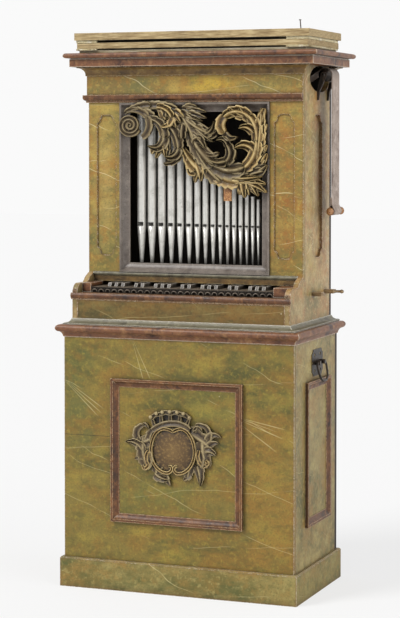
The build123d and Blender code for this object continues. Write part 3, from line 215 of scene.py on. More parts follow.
def fan(tree, place, x, z, degrees, reach_mm):
    """Hairlines that spread from one point of the front, one for each angle below the level."""
    away = add(tree, "ShaderNodeVectorMath", {0: place, 1: (x, 0, z)}, operation="SUBTRACT")
    flat = add(tree, "ShaderNodeVectorMath", {0: away, 1: (1, 0, 1)}, operation="MULTIPLY")
    right = add(tree, "ShaderNodeSeparateXYZ", {"Vector": flat}, out="X")
    up = add(tree, "ShaderNodeSeparateXYZ", {"Vector": flat}, out="Z")
    angle = add(tree, "ShaderNodeMath", {0: up, 1: right}, operation="ARCTAN2")
    turn = add(tree, "ShaderNodeMapRange", {"Value": angle, "From Min": 0, "From Max": -math.pi / 2})
    stops = []
    for degree in degrees:
        stops.append(((degree - FAN_LINE_DEGREES) / 90, "#000000"))
        stops.append((degree / 90, "#FFFFFF"))
        stops.append(((degree + FAN_LINE_DEGREES) / 90, "#000000"))
    lines = add(tree, "ShaderNodeValToRGB", {"Fac": turn}, stops=stops)
    length = add(tree, "ShaderNodeVectorMath", {0: flat}, out="Value", operation="LENGTH")
    reach = reach_mm * MM
    ends = add(tree, "ShaderNodeMapRange", {"Value": length, "From Min": reach, "From Max": 0.8 * reach})
    return add(tree, "ShaderNodeMath", {0: lines, 1: ends}, operation="MULTIPLY")


def marbling(
    name, ground, dark, warm, light, vein, shift,
    veins=0.8, chips=0.47, shade_and_dirt=0.7, cracks=(), tints=(), fans=(),
):
    """Five colours in clouds, then hairlines, dirt with painted shade, rubbed edges and chips. shift moves the
    whole pattern.
    """
    def build(tree, place):
        moved = add(tree, "ShaderNodeMapping", {"Vector": place, "Location": (shift, shift, shift)})
        tilt = {"Vector": moved, "Rotation": (0.5, -0.7, 0.5), "Scale": (1.0, 1.6, 1.9)}
        slant = add(tree, "ShaderNodeMapping", tilt)
        colour = glaze(tree, ground, dark, clouds(tree, slant, 330, 0.47, 0.62))
        colour = glaze(tree, colour, warm, clouds(tree, slant, 240, 0.47, 0.62), 0.9)
        colour = glaze(tree, colour, light, clouds(tree, slant, 150, 0.5, 0.68), 0.8)
        for low, high, tint, strength in tints:
            within = inside(tree, place, low, high, soft_mm=25)
            broken = clouds(tree, slant, 90, 0.35, 0.6)
            patchy = add(tree, "ShaderNodeMath", {0: within, 1: broken}, operation="MULTIPLY")
            colour = glaze(tree, colour, tint, patchy, strength)
        colour = glaze(tree, colour, dark, clouds(tree, slant, 62, 0.5, 0.72), 0.75)
        colour = glaze(tree, colour, warm, clouds(tree, moved, 33, 0.5, 0.7), 0.7)
        colour = glaze(tree, colour, light, clouds(tree, moved, 13, 0.52, 0.68), 0.65)
        colour = glaze(tree, colour, dark, clouds(tree, moved, 6, 0.52, 0.66), 0.6)
        for spread, turn, width in HAIRLINE_SETS:
            colour = glaze(tree, colour, vein, hairlines(tree, slant, spread, turn, width, shift), veins)
        for x, z, degrees, reach_mm in fans:
            colour = glaze(tree, colour, vein, fan(tree, place, x, z, degrees, reach_mm), 0.75)
        # Dirt and painted shade: the corners are darkened towards a dark olive brown.
        colour = glaze(tree, colour, "#3A2F17", dirt_and_shade_in_corners(tree, 45), shade_and_dirt)
        colour = glaze(tree, colour, "#6B4426", worn_edges(tree, place, 14, 60, 0.33), 0.55)
        for low, high in cracks:
            colour = glaze(tree, colour, "#241A0E", inside(tree, place, low, high, soft_mm=0.6), 0.9)
        lost = worn_edges(tree, place, 4, 9, chips)
        bare = glaze(tree, "#8A6A45", "#DDD6C6", clouds(tree, place, 5, 0.42, 0.58))
        colour = glaze(tree, colour, bare, lost)
        flecks = clouds(tree, moved, 17, 0.735, 0.76, detail=3)
        colour = glaze(tree, colour, "#D9CFB4", flecks, 0.8)
        brushed = clouds(tree, slant, 16, 0.3, 0.7, detail=6)
        rough = add(tree, "ShaderNodeMapRange", {"Value": brushed, "To Min": 0.36, "To Max": 0.56})
        relief = add(tree, "ShaderNodeMath", {0: brushed, 1: lost}, operation="SUBTRACT")
        return {"Base Color": colour, "Roughness": rough, "Bump": (relief, 0.2, 1), "IOR": 1.48}

    return finish(name, build)


# %% The marblings of the case, board by board
def area(x, z):
    """A box of the case in metres that takes in every depth."""
    return (x[0], -1, z[0]), (x[1], 1, z[1])


# Each tint has its box in metres, its colour and its strength.
FRONT_TINTS = (
    (*area((-0.4, -0.3), (0.45, 0.8)), "#5E6230", 0.7),
    (*area((-0.2, 0.05), (0.24, 0.36)), "#64682E", 0.75),
    (*area((0.05, 0.2), (0.55, 0.68)), "#6A6A2E", 0.6),
    (*area((0.25, 0.4), (0.12, 0.5)), "#96702A", 0.6),
    (*area((-0.22, -0.1), (0.5, 0.68)), "#97782C", 0.5),
)
# Each fan has its point on the front in metres, the angles of its lines and their length in millimetres.
FRONT_FANS = (
    (-0.414, 0.694, (33, 38, 43), 190), (-0.162, 0.84, (64, 73), 170), (0.178, 0.595, (11, 20, 34), 200),
)
UPPER_TINTS = (
    (*area((-0.02, 0.14), (1.63, 1.68)), "#CBA838", 0.9),
    (*area((-0.38, -0.1), (1.62, 1.69)), "#6E6A3C", 0.75),
    (*area((0.2, 0.38), (1.62, 1.69)), "#6A6838", 0.8),
    (*area((-0.32, -0.25), (1.63, 1.67)), "#9C6C30", 0.5),
    (*area((0.3, 0.345), (1.1, 1.5)), "#965A22", 0.95),
    (*area((-0.345, -0.3), (1.1, 1.5)), "#B39A58", 0.9),
    (*area((0.26, 0.38), (1.04, 1.12)), "#7C7638", 0.7),
    (*area((-0.38, -0.27), (1.02, 1.2)), "#8E7E3A", 0.6),
)
front_marble = marbling(
    "olive_marbling", "#7C6B2E", "#4E4C1E", "#886626", "#9C8836", "#CFC28C", 0.0, veins=0.5, chips=0.32,
    cracks=(area((-0.4, -0.235), (0.5022, 0.5038)),), tints=FRONT_TINTS, fans=FRONT_FANS,
)
side_marble = marbling(
    "dusty_olive_marbling", "#8C7C4A", "#5A552C", "#94743C", "#AE9C62", "#D2C798", 2.3, veins=0.6,
)
upper_marble = marbling(
    "golden_olive_marbling", "#927A3A", "#626030", "#A2722C", "#B69C4C", "#DDD0A0", 5.1, tints=UPPER_TINTS,
)
FLANK_TINTS = (
    ((0.3, 0.09, 1.05), (0.4, 0.175, 1.56), "#7A5230", 0.85),
    ((0.3, -0.03, 1.05), (0.4, 0.05, 1.6), "#B29A48", 0.7),
    ((0.3, -0.06, 0.87), (0.4, 0.1, 0.99), "#5E5A2C", 0.85),
    ((0.3, 0.17, 1.0), (0.4, 0.23, 1.3), "#C9B898", 0.6),
)
flank_marble = marbling(
    "worn_flank_marbling", "#AC9260", "#7C6C40", "#AE7C4A", "#C6B282", "#DED4AC", 7.7,
    shade_and_dirt=0.85, tints=FLANK_TINTS,
)
box_marble = marbling(
    "brown_olive_marbling", "#6A5426", "#484018", "#7C5A22", "#80703A", "#C0B078", 9.2, veins=0.6,
)
plinth_marble = marbling(
    "scuffed_plinth_marbling", "#8A7A42", "#585828", "#947436", "#A4965A", "#D2C690", 3.7, chips=0.42,
)
put_on(front_marble, "lower_front_wall")
put_on(side_marble, "lower_side_walls")
put_on(upper_marble, "upper_front", "frieze")
put_on(flank_marble, "upper_left_wall", "upper_right_wall", "cheeks")
put_on(box_marble, "keybox_front")
put_on(plinth_marble, "plinth")
print("six marblings, the first with", len(front_marble.node_tree.nodes), "nodes")

# %% [markdown]
# The mouldings were painted red-brown to look like a dearer wood. Their crests have worn to a lighter brown,
# the quirks are darkened nearly black with dirt and painted shade, and the arrises are chipped to the chalk
# ground. Iron and stained keys are made by the same layers in other colours.


# %% Painted mouldings and other handled surfaces
def moulding_paint(name, dark, middle, light, chip, chips=0.48, shade_and_dirt=0.9, rough=(0.36, 0.56), metal=0.0):
    def build(tree, place):
        colour = glaze(tree, dark, middle, clouds(tree, place, 70, 0.36, 0.5, detail=6))
        colour = glaze(tree, colour, light, clouds(tree, place, 24, 0.5, 0.66, detail=6), 0.85)
        colour = glaze(tree, colour, dark, clouds(tree, place, 7, 0.52, 0.66), 0.7)
        colour = glaze(tree, colour, light, worn_edges(tree, place, 7, 40, 0.3), 0.8)
        # Dirt and painted shade: quirks and corners darkened nearly black.
        colour = glaze(tree, colour, "#150E08", dirt_and_shade_in_corners(tree, 16, clean=0.92, black=0.5), shade_and_dirt)
        colour = glaze(tree, colour, chip, worn_edges(tree, place, 3, 7, chips))
        grain = clouds(tree, place, 9, 0.3, 0.7, detail=6)
        gloss = add(tree, "ShaderNodeMapRange", {"Value": grain, "To Min": rough[0], "To Max": rough[1]})
        return {"Base Color": colour, "Roughness": gloss, "Bump": (grain, 0.25, 1), "Metallic": metal}

    return finish(name, build)


frame_brown = moulding_paint("orange_brown_paint", "#2C180B", "#5C371A", "#8A5C32", "#D2BC98", chips=0.42)
cornice_brown = moulding_paint("rubbed_cornice_paint", "#381C12", "#764A2C", "#9A7048", "#E0D6C4", chips=0.32)
cove_brown = moulding_paint("olive_brown_paint", "#44300F", "#745628", "#947840", "#CBBB94")
grey_paint = moulding_paint("grey_moulding_paint", "#4C4738", "#6E6852", "#8E8870", "#E4DED0", chips=0.29)
violet_grey = moulding_paint(
    "violet_grey_paint", "#544A42", "#70665E", "#887E74", "#C4BDB0", chips=0.56, rough=(0.3, 0.45),
)
put_on(frame_brown, "front_panel_frame", "side_panel_frames", "key_ledge", "architrave")
put_on(cove_brown, "cornice_cove", "name_board")
put_on(cornice_brown, "lower_cornice", "key_blocks", "main_cornice")
put_on(grey_paint, "base_moulding", "sill_bead")
put_on(violet_grey, "window_frame")

stained_keys = moulding_paint("grimy_key_tops", "#3A3026", "#625648", "#857868", "#B5AA98", shade_and_dirt=0.95)
black_fronts = moulding_paint("black_key_fronts_with_painted_shade", "#0E0B08", "#17120D", "#2A221A", "#4A4036", shade_and_dirt=0.5)
dark_sharps = moulding_paint(
    "dark_sharps_with_pale_edges", "#2A241E", "#4A433B", "#857C70", "#D8D2C6", chips=0.3, shade_and_dirt=0.4,
)
iron = moulding_paint(
    "blackened_iron", "#1C1917", "#2E2925", "#54483F", "#7A6A60",
    chips=0.5, shade_and_dirt=0.3, rough=(0.3, 0.5), metal=0.6,
)
put_on(stained_keys, "naturals")
put_on(dark_sharps, "sharps")
put_on(iron, "roller", "handle_plates", "handle_bail_left", "handle_bail_right", "iron_pin", "roller_arms")
print("nine finishes in these layers, each with", len(iron.node_tree.nodes), "nodes")

# %% [markdown]
# Bare softwood shows on the bellows, on top of the cornice and inside the case. Its grain is a noise
# stretched along the board. Inside the case it is painted nearly black as painted shade, and so are the
# faces of the backs that look inwards.


# %% Bare and aged wood
def bare_wood(name, pale, middle, dark, along=(1, 14, 14), rough=0.7, chips=0.5, painted_shade_box=None):
    def build(tree, place):
        board = add(tree, "ShaderNodeMapping", {"Vector": place, "Scale": along})
        grain = clouds(tree, board, 60, 0.3, 0.7, detail=7)
        shades = ((0.15, dark), (0.5, middle), (0.85, pale))
        colour = add(tree, "ShaderNodeValToRGB", {"Fac": grain}, stops=shades)
        colour = glaze(tree, colour, dark, clouds(tree, place, 80, 0.45, 0.7), 0.6)
        # Dirt and painted shade in the corners.
        colour = glaze(tree, colour, "#1A120A", dirt_and_shade_in_corners(tree, 20), 0.8)
        colour = glaze(tree, colour, pale, worn_edges(tree, place, 3, 12, chips))
        if painted_shade_box:
            # Painted shade: the faces inside this box are made near black.
            colour = glaze(tree, colour, "#0E0A07", inside(tree, place, *painted_shade_box, soft_mm=0.5), 0.92)
        return {"Base Color": colour, "Roughness": rough, "Bump": (grain, 0.3, 0.8)}

    return finish(name, build)


bellows_wood = bare_wood("dusty_bellows_softwood", "#CDBA8E", "#AC9468", "#7A6440")
# The inside of the case in painted shade, near black all over.
inner_wood = bare_wood("inner_softwood_in_painted_shade", "#2A2018", "#1C150F", "#0E0A07")
# The inward faces of the backs take painted shade, near black.
INSIDE_OF_BACK = ((-1, -1, 0), (1, 0.2212, 2))  # up to the faces of both backs that look inwards
back_wood = bare_wood(
    "dark_back_softwood", "#7E6244", "#634A32", "#3E2E20", along=(14, 14, 1), painted_shade_box=INSIDE_OF_BACK
)
chalky_wood = bare_wood("chalky_packing_strip", "#E6DDC4", "#CFC19C", "#8C7A58", chips=0.35)
turned_wood = bare_wood(
    "hand_waxed_turned_wood", "#C99A60", "#A8744A", "#6E4526", along=(14, 1, 14), rough=0.38,
)
lever_wood = bare_wood("worn_lever_wood", "#B49A74", "#8F7450", "#4A3828", rough=0.5, chips=0.45)
put_on(bellows_wood, "bellows_top_board", "bellows_middle_frame", "cornice_board")
put_on(chalky_wood, "bellows_base")
put_on(inner_wood, "lower_shelf", "key_bed", "windchest_board")
put_on(back_wood, "lower_back_wall", "upper_back")
put_on(turned_wood, "toggle", "repair_tab")
put_on(lever_wood, "stop_lever_front", "stop_lever_rear")


# %% [markdown]
# Front pipes are rolled from cast sheet of tin with lead, planed by hand: a pale soft metal that has dulled,
# with faint upright planing marks and grey bloom. The strap and the bellows' folds are leather, whose creases
# run along the borders of a cell texture.


# %% Pipe metal
def tin_sheet(tree, place):
    planed = add(tree, "ShaderNodeMapping", {"Vector": place, "Scale": (12, 12, 0.6)})
    marks = clouds(tree, planed, 30, 0.3, 0.7, detail=6)
    colour = glaze(tree, "#C9C7C0", "#E2E0DA", marks)
    colour = glaze(tree, colour, "#A9A79F", clouds(tree, place, 40, 0.5, 0.68), 0.7)
    colour = glaze(tree, colour, "#8A8276", clouds(tree, place, 12, 0.6, 0.72), 0.5)
    # Dirt and painted shade in the corners.
    colour = glaze(tree, colour, "#3A3630", dirt_and_shade_in_corners(tree, 9), 0.8)
    dull = add(tree, "ShaderNodeMapRange", {"Value": marks, "To Min": 0.32, "To Max": 0.48})
    return {"Base Color": colour, "Roughness": dull, "Bump": (marks, 0.15, 0.6), "Metallic": 0.6}


pipe_metal = finish("dulled_tin_pipe_metal", tin_sheet)
put_on(pipe_metal, "front_pipes")


# %% Leather
def leather(name, pale, middle, dark, crease_mm, darkened_box):
    def build(tree, place):
        cells = {"Vector": place, "Scale": 1000 / crease_mm}
        creases = add(tree, "ShaderNodeTexVoronoi", cells, feature="DISTANCE_TO_EDGE")
        folded = add(tree, "ShaderNodeMapRange", {"Value": creases, "From Min": 0.12, "From Max": 0.0})
        colour = glaze(tree, dark, middle, clouds(tree, place, 50, 0.35, 0.5))
        colour = glaze(tree, colour, pale, clouds(tree, place, 22, 0.5, 0.65))
        colour = glaze(tree, colour, dark, folded, 0.6)
        # Dirt and painted shade where the leather meets other parts.
        colour = glaze(tree, colour, "#3A3024", dirt_and_shade_in_corners(tree, 10), 0.7)
        # Painted shade: inside the given box the leather is made near black.
        colour = glaze(tree, colour, "#17110B", inside(tree, place, *darkened_box, soft_mm=30), 0.95)
        return {"Base Color": colour, "Roughness": 0.62, "Bump": (creases, 0.4, 1.2)}

    return finish(name, build)


# Between the bellows' boards the folds lie in shade, painted near black here; over the roller the strap is
# darkened the same way.
BETWEEN_THE_BOARDS = area((-0.33, 0.33), (1.7, 1.9))
OVER_THE_ROLLER = area((0.35, 0.5), (1.7, 1.8))
cream_leather = leather("cream_alum_tawed_leather", "#E6DCB8", "#D6C78F", "#A08C5E", 6, BETWEEN_THE_BOARDS)
strap_leather = leather("grey_pink_strap_leather", "#C2B2A6", "#A8978A", "#75645A", 4, OVER_THE_ROLLER)
put_on(cream_leather, "bellows_lower_fold", "bellows_upper_fold")
put_on(strap_leather, "pull_strap")
print("materials in all:", len(bpy.data.materials))

# %% [markdown]
# The CAD pipes, bails and turned pieces have flat facets. A copy of each has its doubled points merged and its
# normals smoothed where faces meet at less than 40 degrees, so that tubes look round and edges stay crisp.


# %% Smooth copies of the round pieces
def smooth_copy(name):
    data = part[name].data.copy()
    shell = bmesh.new()
    shell.from_mesh(data)
    bmesh.ops.remove_doubles(shell, verts=shell.verts, dist=0.01 * MM)
    shell.to_mesh(data)
    shell.free()
    piece = bpy.data.objects.new(name + "_smooth", data)
    bpy.context.scene.collection.objects.link(piece)
    bpy.ops.object.select_all(action="DESELECT")
    piece.select_set(True)
    bpy.context.view_layer.objects.active = piece
    bpy.ops.object.shade_smooth_by_angle(angle=math.radians(40))
    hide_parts(name)
    return piece


ROUND_PIECES = {
    "front_pipes": "case", "toggle": "case", "roller": "roller_body", "handle_bail_left": "handle_left",
    "handle_bail_right": "handle_right", "stop_lever_front": "stop_front", "stop_lever_rear": "stop_rear",
}
for name, body in ROUND_PIECES.items():
    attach(smooth_copy(name), body)
print("smoothed:", ", ".join(ROUND_PIECES))

# %% Keys with black fronts
naturals = smooth_copy("naturals")
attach(naturals, "case")
# The fronts are drawn near black: dark fronts with painted shade in their arched recesses, drawn as one.
naturals.data.materials.append(black_fronts)
for face in naturals.data.polygons:
    face.material_index = 1 if face.normal.y < -0.9 else 0
print("naturals:", len(naturals.data.polygons), "faces, the front ones black")

# %% [markdown]
# The folds of the bellows are leather between two boards that part. A smooth copy of each fold takes its
# place, fixed where it stands; the boards listed with it are not used.

# %% Smooth copies of the folds
FOLDS = {
    "bellows_lower_fold": ("case", "bellows_middle"),
    "bellows_upper_fold": ("bellows_middle", "bellows_top"),
}
for name, (under, over) in FOLDS.items():
    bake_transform(smooth_copy(name))
print("folds:", ", ".join(FOLDS))

# %% [markdown]
# Every natural key ends in a black front with a small arch on it. One arch is half a torus, cut level
# with the Bisect tool. An Array modifier repeats it at the pitch of the keys.

# %% Arches on the fronts of the naturals
NATURALS, KEY_PITCH = 27, 23.6 * MM
keys_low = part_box("naturals")[0]
bpy.ops.object.select_all(action="DESELECT")
foot_z = keys_low[2] + 2 * MM
bpy.ops.mesh.primitive_torus_add(
    location=(keys_low[0] + KEY_PITCH / 2, keys_low[1], foot_z), rotation=(math.radians(90), 0, 0),
    major_radius=8.6 * MM, minor_radius=1.9 * MM, major_segments=28, minor_segments=10,
)
arches = bpy.context.active_object
arches.name = "key_front_arches"
bpy.ops.object.transform_apply(location=True, rotation=True, scale=True)
bpy.ops.object.mode_set(mode="EDIT")
bpy.ops.mesh.select_all(action="SELECT")
bpy.ops.mesh.bisect(
    plane_co=(0, 0, foot_z), plane_no=(0, 0, 1), use_fill=True, clear_inner=True, clear_outer=False,
)
bpy.ops.object.mode_set(mode="OBJECT")
repeat = arches.modifiers.new("one_for_each_key", "ARRAY")
repeat.count, repeat.use_relative_offset, repeat.use_constant_offset = NATURALS, False, True
repeat.constant_offset_displace = (KEY_PITCH, 0, 0)
bpy.ops.object.modifier_apply(modifier=repeat.name)
bpy.ops.object.shade_smooth_by_angle(angle=math.radians(40))
arches.data.materials.append(stained_keys)
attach(arches, "case")
print("arches:", NATURALS, "with", len(arches.data.polygons), "faces")

# %% Camera
camera_data = bpy.data.cameras.new("front_left_camera")
camera = bpy.data.objects.new("front_left_camera", camera_data)
bpy.context.scene.collection.objects.link(camera)
camera.location = (2.34848, -5.98746, 1.46332)
camera.rotation_euler = (math.radians(90 - 1.687), 0, math.radians(21.471))
camera_data.sensor_width = 36
camera_data.lens = 112.77
camera_data.shift_y = -0.1764
bpy.context.scene.camera = camera
bpy.context.scene.view_settings.view_transform = "Standard"
print("camera with a lens of", camera_data.lens, "mm")

# %% [markdown]
# At both ends the leather of the bellows bulges out between the boards in small crumples. Two boxes are
# joined round each front corner and cut fine, and their points are moved at random with a fixed seed. Smooth
# shading up to a steep angle makes soft folds of them.

# %% Crumpled leather at the ends of the bellows
BULGE = 8 * MM  # past the fold, in front and at the ends
ALONG_THE_FRONT = 66 * MM  # from each end
OVERLAP = 3 * MM  # of the leather over the fold
BACK_GAP = 6 * MM
BOARD_GAP = 0.4 * MM  # to the board below and above


def box_at(low, high):
    centre = [(a + b) / 2 for a, b in zip(low, high)]
    bpy.ops.mesh.primitive_cube_add(size=1, location=centre, scale=[b - a for a, b in zip(low, high)])
    return bpy.context.active_object


def crumpled_ends(name, node):
    """Leather that wraps both front corners and both ends between two boards."""
    low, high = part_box(node)
    floor_z, roof_z = low[2] + BOARD_GAP, high[2] - BOARD_GAP
    front = low[1] - BULGE
    bpy.ops.object.select_all(action="DESELECT")
    blocks = []
    for side in (-1, 1):
        inner, outer = side * (high[0] - ALONG_THE_FRONT), side * (high[0] + BULGE)
        wall = side * (high[0] - OVERLAP)
        for start, back in ((inner, low[1] + OVERLAP), (wall, high[1] - BACK_GAP)):
            block_low = (min(start, outer), front, floor_z)
            block_high = (max(start, outer), back, roof_z)
            blocks.append(box_at(block_low, block_high))
    for block in blocks:
        block.select_set(True)
    bpy.ops.object.join()
    piece = bpy.context.active_object
    piece.name = name
    bpy.ops.object.transform_apply(location=True, rotation=True, scale=True)
    bpy.ops.object.mode_set(mode="EDIT")
    bpy.ops.mesh.select_all(action="SELECT")
    bpy.ops.mesh.subdivide(number_cuts=18)
    bpy.ops.transform.vertex_random(offset=0.9 * MM, seed=4)
    bpy.ops.mesh.normals_make_consistent(inside=False)
    bpy.ops.object.mode_set(mode="OBJECT")
    bpy.ops.object.shade_smooth_by_angle(angle=math.radians(70))
    piece.data.materials.clear()
    piece.data.materials.append(bulging_leather)
    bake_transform(piece)
    print(name, "has", len(piece.data.polygons), "faces")


# The box where this leather would take painted shade, as between the boards.
MIDDLE_OF_THE_BELLOWS = ((-0.2, 0, 1.7), (0.2, 0.1, 1.9))
# Paler than the same cream leather of the folds: painted light on the crumples that bulge out.
bulging_leather = leather(
    "crumpled_cream_leather", "#F8F2DC", "#EEE2B8", "#B8A26C", 5, MIDDLE_OF_THE_BELLOWS,
)
crumpled_ends("upper_bellows_crumples", "bellows_upper_fold")
crumpled_ends("lower_bellows_crumples", "bellows_lower_fold")

# %% [markdown]
# The front of each cheek carries a small carved rosette. A short cylinder is inset and extruded twice, which
# leaves a rim, a sunk ring and a boss.

# %% Rosettes on the cheeks
def rosette(name, x, z):
    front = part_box("cheeks")[0][1]
    bpy.ops.object.select_all(action="DESELECT")
    bpy.ops.mesh.primitive_cylinder_add(
        vertices=24, radius=8 * MM, depth=4 * MM,
        location=(x, front - 1 * MM, z), rotation=(math.radians(90), 0, 0),
    )
    piece = bpy.context.active_object
    piece.name = name
    bpy.ops.object.transform_apply(location=True, rotation=True, scale=True)
    bpy.ops.object.mode_set(mode="EDIT")
    bpy.ops.mesh.select_all(action="DESELECT")
    shell = bmesh.from_edit_mesh(piece.data)
    for face in shell.faces:
        face.select = face.normal.y < -0.9
    bmesh.update_edit_mesh(piece.data)
    for thickness, push in ((1.6 * MM, 1.6 * MM), (2.2 * MM, -2 * MM)):
        bpy.ops.mesh.inset(thickness=thickness, depth=0)
        bpy.ops.mesh.extrude_region_move(TRANSFORM_OT_translate={"value": (0, push, 0)})
    bpy.ops.mesh.select_all(action="SELECT")
    bpy.ops.mesh.normals_make_consistent(inside=False)
    bpy.ops.object.mode_set(mode="OBJECT")
    soften = piece.modifiers.new("soft_edges", "BEVEL")
    soften.width, soften.segments = 0.4 * MM, 2
    bpy.ops.object.modifier_apply(modifier=soften.name)
    bpy.ops.object.shade_smooth_by_angle(angle=math.radians(40))
    piece.data.materials.append(frame_brown)
    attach(piece, "case")
    print(name, "has", len(piece.data.polygons), "faces")


ROSETTE_Z = 0.975
cheeks_low, cheeks_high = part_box("cheeks")
CHEEK_BOARD = 18 * MM
rosette("left_cheek_rosette", cheeks_low[0] + CHEEK_BOARD / 2, ROSETTE_Z)
rosette("right_cheek_rosette", cheeks_high[0] - CHEEK_BOARD / 2, ROSETTE_Z)

# %% [markdown]
# The carving is what this organ is known by. A carver roughs out each acanthus leaf as a tapering band along
# an arc, then cuts flutes down it that leave sharp raised edges. The code does the same, because extruding
# and spinning can't give such a form. Each leaf has its root, its tip, how far it bends, its two widths, how
# high it stands, and whether gilding is left on it ("g") or the wood is bare ("w"). All but the height are in
# pixels of the camera's view, so a ray through the camera turns them into places on the wall behind.

# %% From a pixel of the view to a place on a wall
VIEW_WIDTH, VIEW_HEIGHT = 400, 618
PIXEL = 3.4 * MM
focal_px = camera_data.lens / camera_data.sensor_width * VIEW_HEIGHT
camera_turn = camera.rotation_euler.to_matrix()


def on_wall(px, py, wall_y):
    """Where the line of sight through a pixel meets the upright plane y = wall_y: x and z."""
    across = (px - VIEW_WIDTH / 2) / focal_px
    up = (VIEW_HEIGHT / 2 - py + camera_data.shift_y * VIEW_HEIGHT) / focal_px
    sight = camera_turn @ Vector((across, up, -1))
    reach = (wall_y - camera.location.y) / sight.y
    return Vector((camera.location.x + sight.x * reach, camera.location.z + sight.z * reach))


one_pixel = on_wall(175, 450, -0.23) - on_wall(174, 450, -0.23)
print("a pixel on the front is", round(one_pixel.x / MM, 2), "mm wide")

# %% [markdown]
# The finish of the carving follows its form. Each vertex keeps how deep it lies in a flute, and the paint
# uses that: raised edges are pale, rubbed and with a painted highlight, and hollows go from warm brown to
# near black, a painted shade, as does the foot of each band where it meets the wall.

# %% Carved wood and gilding
STEPS_ALONG, STEPS_ACROSS = 28, 16
FLUTE_WIDTH, FLUTE_DEPTH, FLUTE_SHARPNESS = 17 * MM, 0.45, 1.6
LOBE_LENGTH, LOBE_DEPTH, OUTER_LIFT = 21 * MM, 0.34, 0.22
ROUNDING = 0.75
MIDDLE_HEIGHT = 13  # in millimetres; the heights are spread out from it


def carved(name, edge, face, hollow, painted_deep_shade):
    def build(tree, place):
        depth = add(tree, "ShaderNodeAttribute", {}, out="Fac", attribute_name="hollow")
        shades = ((0.0, edge), (0.3, face), (0.75, hollow), (1.0, painted_deep_shade))
        colour = add(tree, "ShaderNodeValToRGB", {"Fac": depth}, stops=shades)
        colour = glaze(tree, colour, hollow, clouds(tree, place, 30, 0.5, 0.65), 0.55)
        colour = glaze(tree, colour, face, clouds(tree, place, 9, 0.5, 0.68), 0.6)
        # Dirt and painted shade: hollows and corners of the carving darkened near black.
        colour = glaze(tree, colour, "#120C07", dirt_and_shade_in_corners(tree, 26, clean=0.96, black=0.38), 0.92)
        colour = glaze(tree, colour, edge, worn_edges(tree, place, 2, 9, 0.45), 0.8)
        grain = clouds(tree, place, 5, 0.3, 0.7)
        return {"Base Color": colour, "Roughness": 0.48, "Bump": (grain, 0.3, 0.6)}

    return finish(name, build)


bare_carving = carved("bare_carved_wood", "#A8966C", "#66563A", "#4C3A20", "#0E0904")
gilt_carving = carved("worn_gilt_carving", "#D0B880", "#A08048", "#604826", "#1E1208")
put_on(bare_carving, "cartouche", "crown", "pipe_shade")


# %% One carved band along any line
def carve_band(mesh, wall_y, line, halves, heights, slot, flutes, outer=0, lobes=0, painted_shade_band=False):
    """Adds a closed band with its flat back on the wall and sharp edges between its flutes.

    outer is the side, 1 or -1, whose edge stands higher and is cut into lobes that lean forward.
    """
    hollow = mesh.verts.layers.float.get("hollow") or mesh.verts.layers.float.new("hollow")
    rings = []
    for i, (centre, half, height) in enumerate(zip(line, halves, heights)):
        ahead, behind = line[min(i + 1, len(line) - 1)], line[max(i - 1, 0)]
        left = Vector((behind.y - ahead.y, ahead.x - behind.x)).normalized()
        ring = []
        for j in range(STEPS_ACROSS + 1):
            u = 2 * j / STEPS_ACROSS - 1
            crest = abs(math.cos(math.pi * flutes * (u + 1) / 2)) ** FLUTE_SHARPNESS
            arch = math.sqrt(1 - (ROUNDING * u) ** 2)
            rise = height * arch * (1 - FLUTE_DEPTH + FLUTE_DEPTH * crest)
            tooth = LOBE_DEPTH * (lobes * i / len(line) % 1) * max(0.0, u * outer) ** 2
            rise *= 1 + OUTER_LIFT * u * outer
            spot = centre + left * half * (u + outer * tooth)
            vertex = mesh.verts.new((spot.x, wall_y - rise, spot.y))
            # From pale at 0 to near black at 1: painted highlight on crests, painted shade in flutes; a
            # painted shade band is 1 all over.
            vertex[hollow] = 1 if painted_shade_band else (1 - crest) * (0.75 + 0.25 * math.sin(4 * i / len(line) + slot))
            ring.append(vertex)
        for u in (1, -1):
            spot = centre + left * half * 0.97 * u
            vertex = mesh.verts.new((spot.x, wall_y, spot.y))
            # The foot of the band at the wall takes the darkest colour, a painted shade.
            vertex[hollow] = 1
            ring.append(vertex)
        rings.append(ring)
    count = len(rings[0])
    for low, high in zip(rings, rings[1:]):
        for j in range(count):
            k = (j + 1) % count
            mesh.faces.new((low[j], low[k], high[k], high[j])).material_index = slot
    for ring in (rings[0], rings[-1]):
        mesh.faces.new(ring).material_index = slot


def carve_leaves(mesh, wall_y, leaves, relief):
    """One band along an arc for each leaf: wide or narrow at its root, drawn out to its tip."""
    for root_x, root_y, tip_x, tip_y, bend, first, last, height, coat in leaves:
        root, tip = on_wall(root_x, root_y, wall_y), on_wall(tip_x, tip_y, wall_y)
        along = tip - root
        left = Vector((-along.y, along.x)).normalized()
        shares = [i / STEPS_ALONG for i in range(STEPS_ALONG + 1)]
        line = [root + along * s + left * 4 * bend * PIXEL * s * (1 - s) for s in shares]
        first, last = max(first, 2) * 1.25 * PIXEL / 2, max(last * 1.3, 1.6) * PIXEL / 2
        halves = []
        for s in shares:
            full = first + (last - first) * s**1.2 + 0.1 * first * math.sin(math.pi * s)
            halves.append(full * min(1, 0.7 + 6 * s) * math.sqrt(1 - max(0.0, (s - 0.86) / 0.148) ** 2))
        lift = ((height - MIDDLE_HEIGHT) * 1.25 + MIDDLE_HEIGHT) * relief
        heights = [lift * MM * (0.7 + 0.25 * math.sin(math.pi * s) + 0.28 * s * s) for s in shares]
        flutes = max(1, min(2, round(2 * max(first, last) / FLUTE_WIDTH)))
        outer = 1 if bend >= 0 else -1
        lobes = max(1, round(along.length / LOBE_LENGTH))
        carve_band(mesh, wall_y, line, halves, heights, 1 if coat == "g" else 0, flutes, outer, lobes)


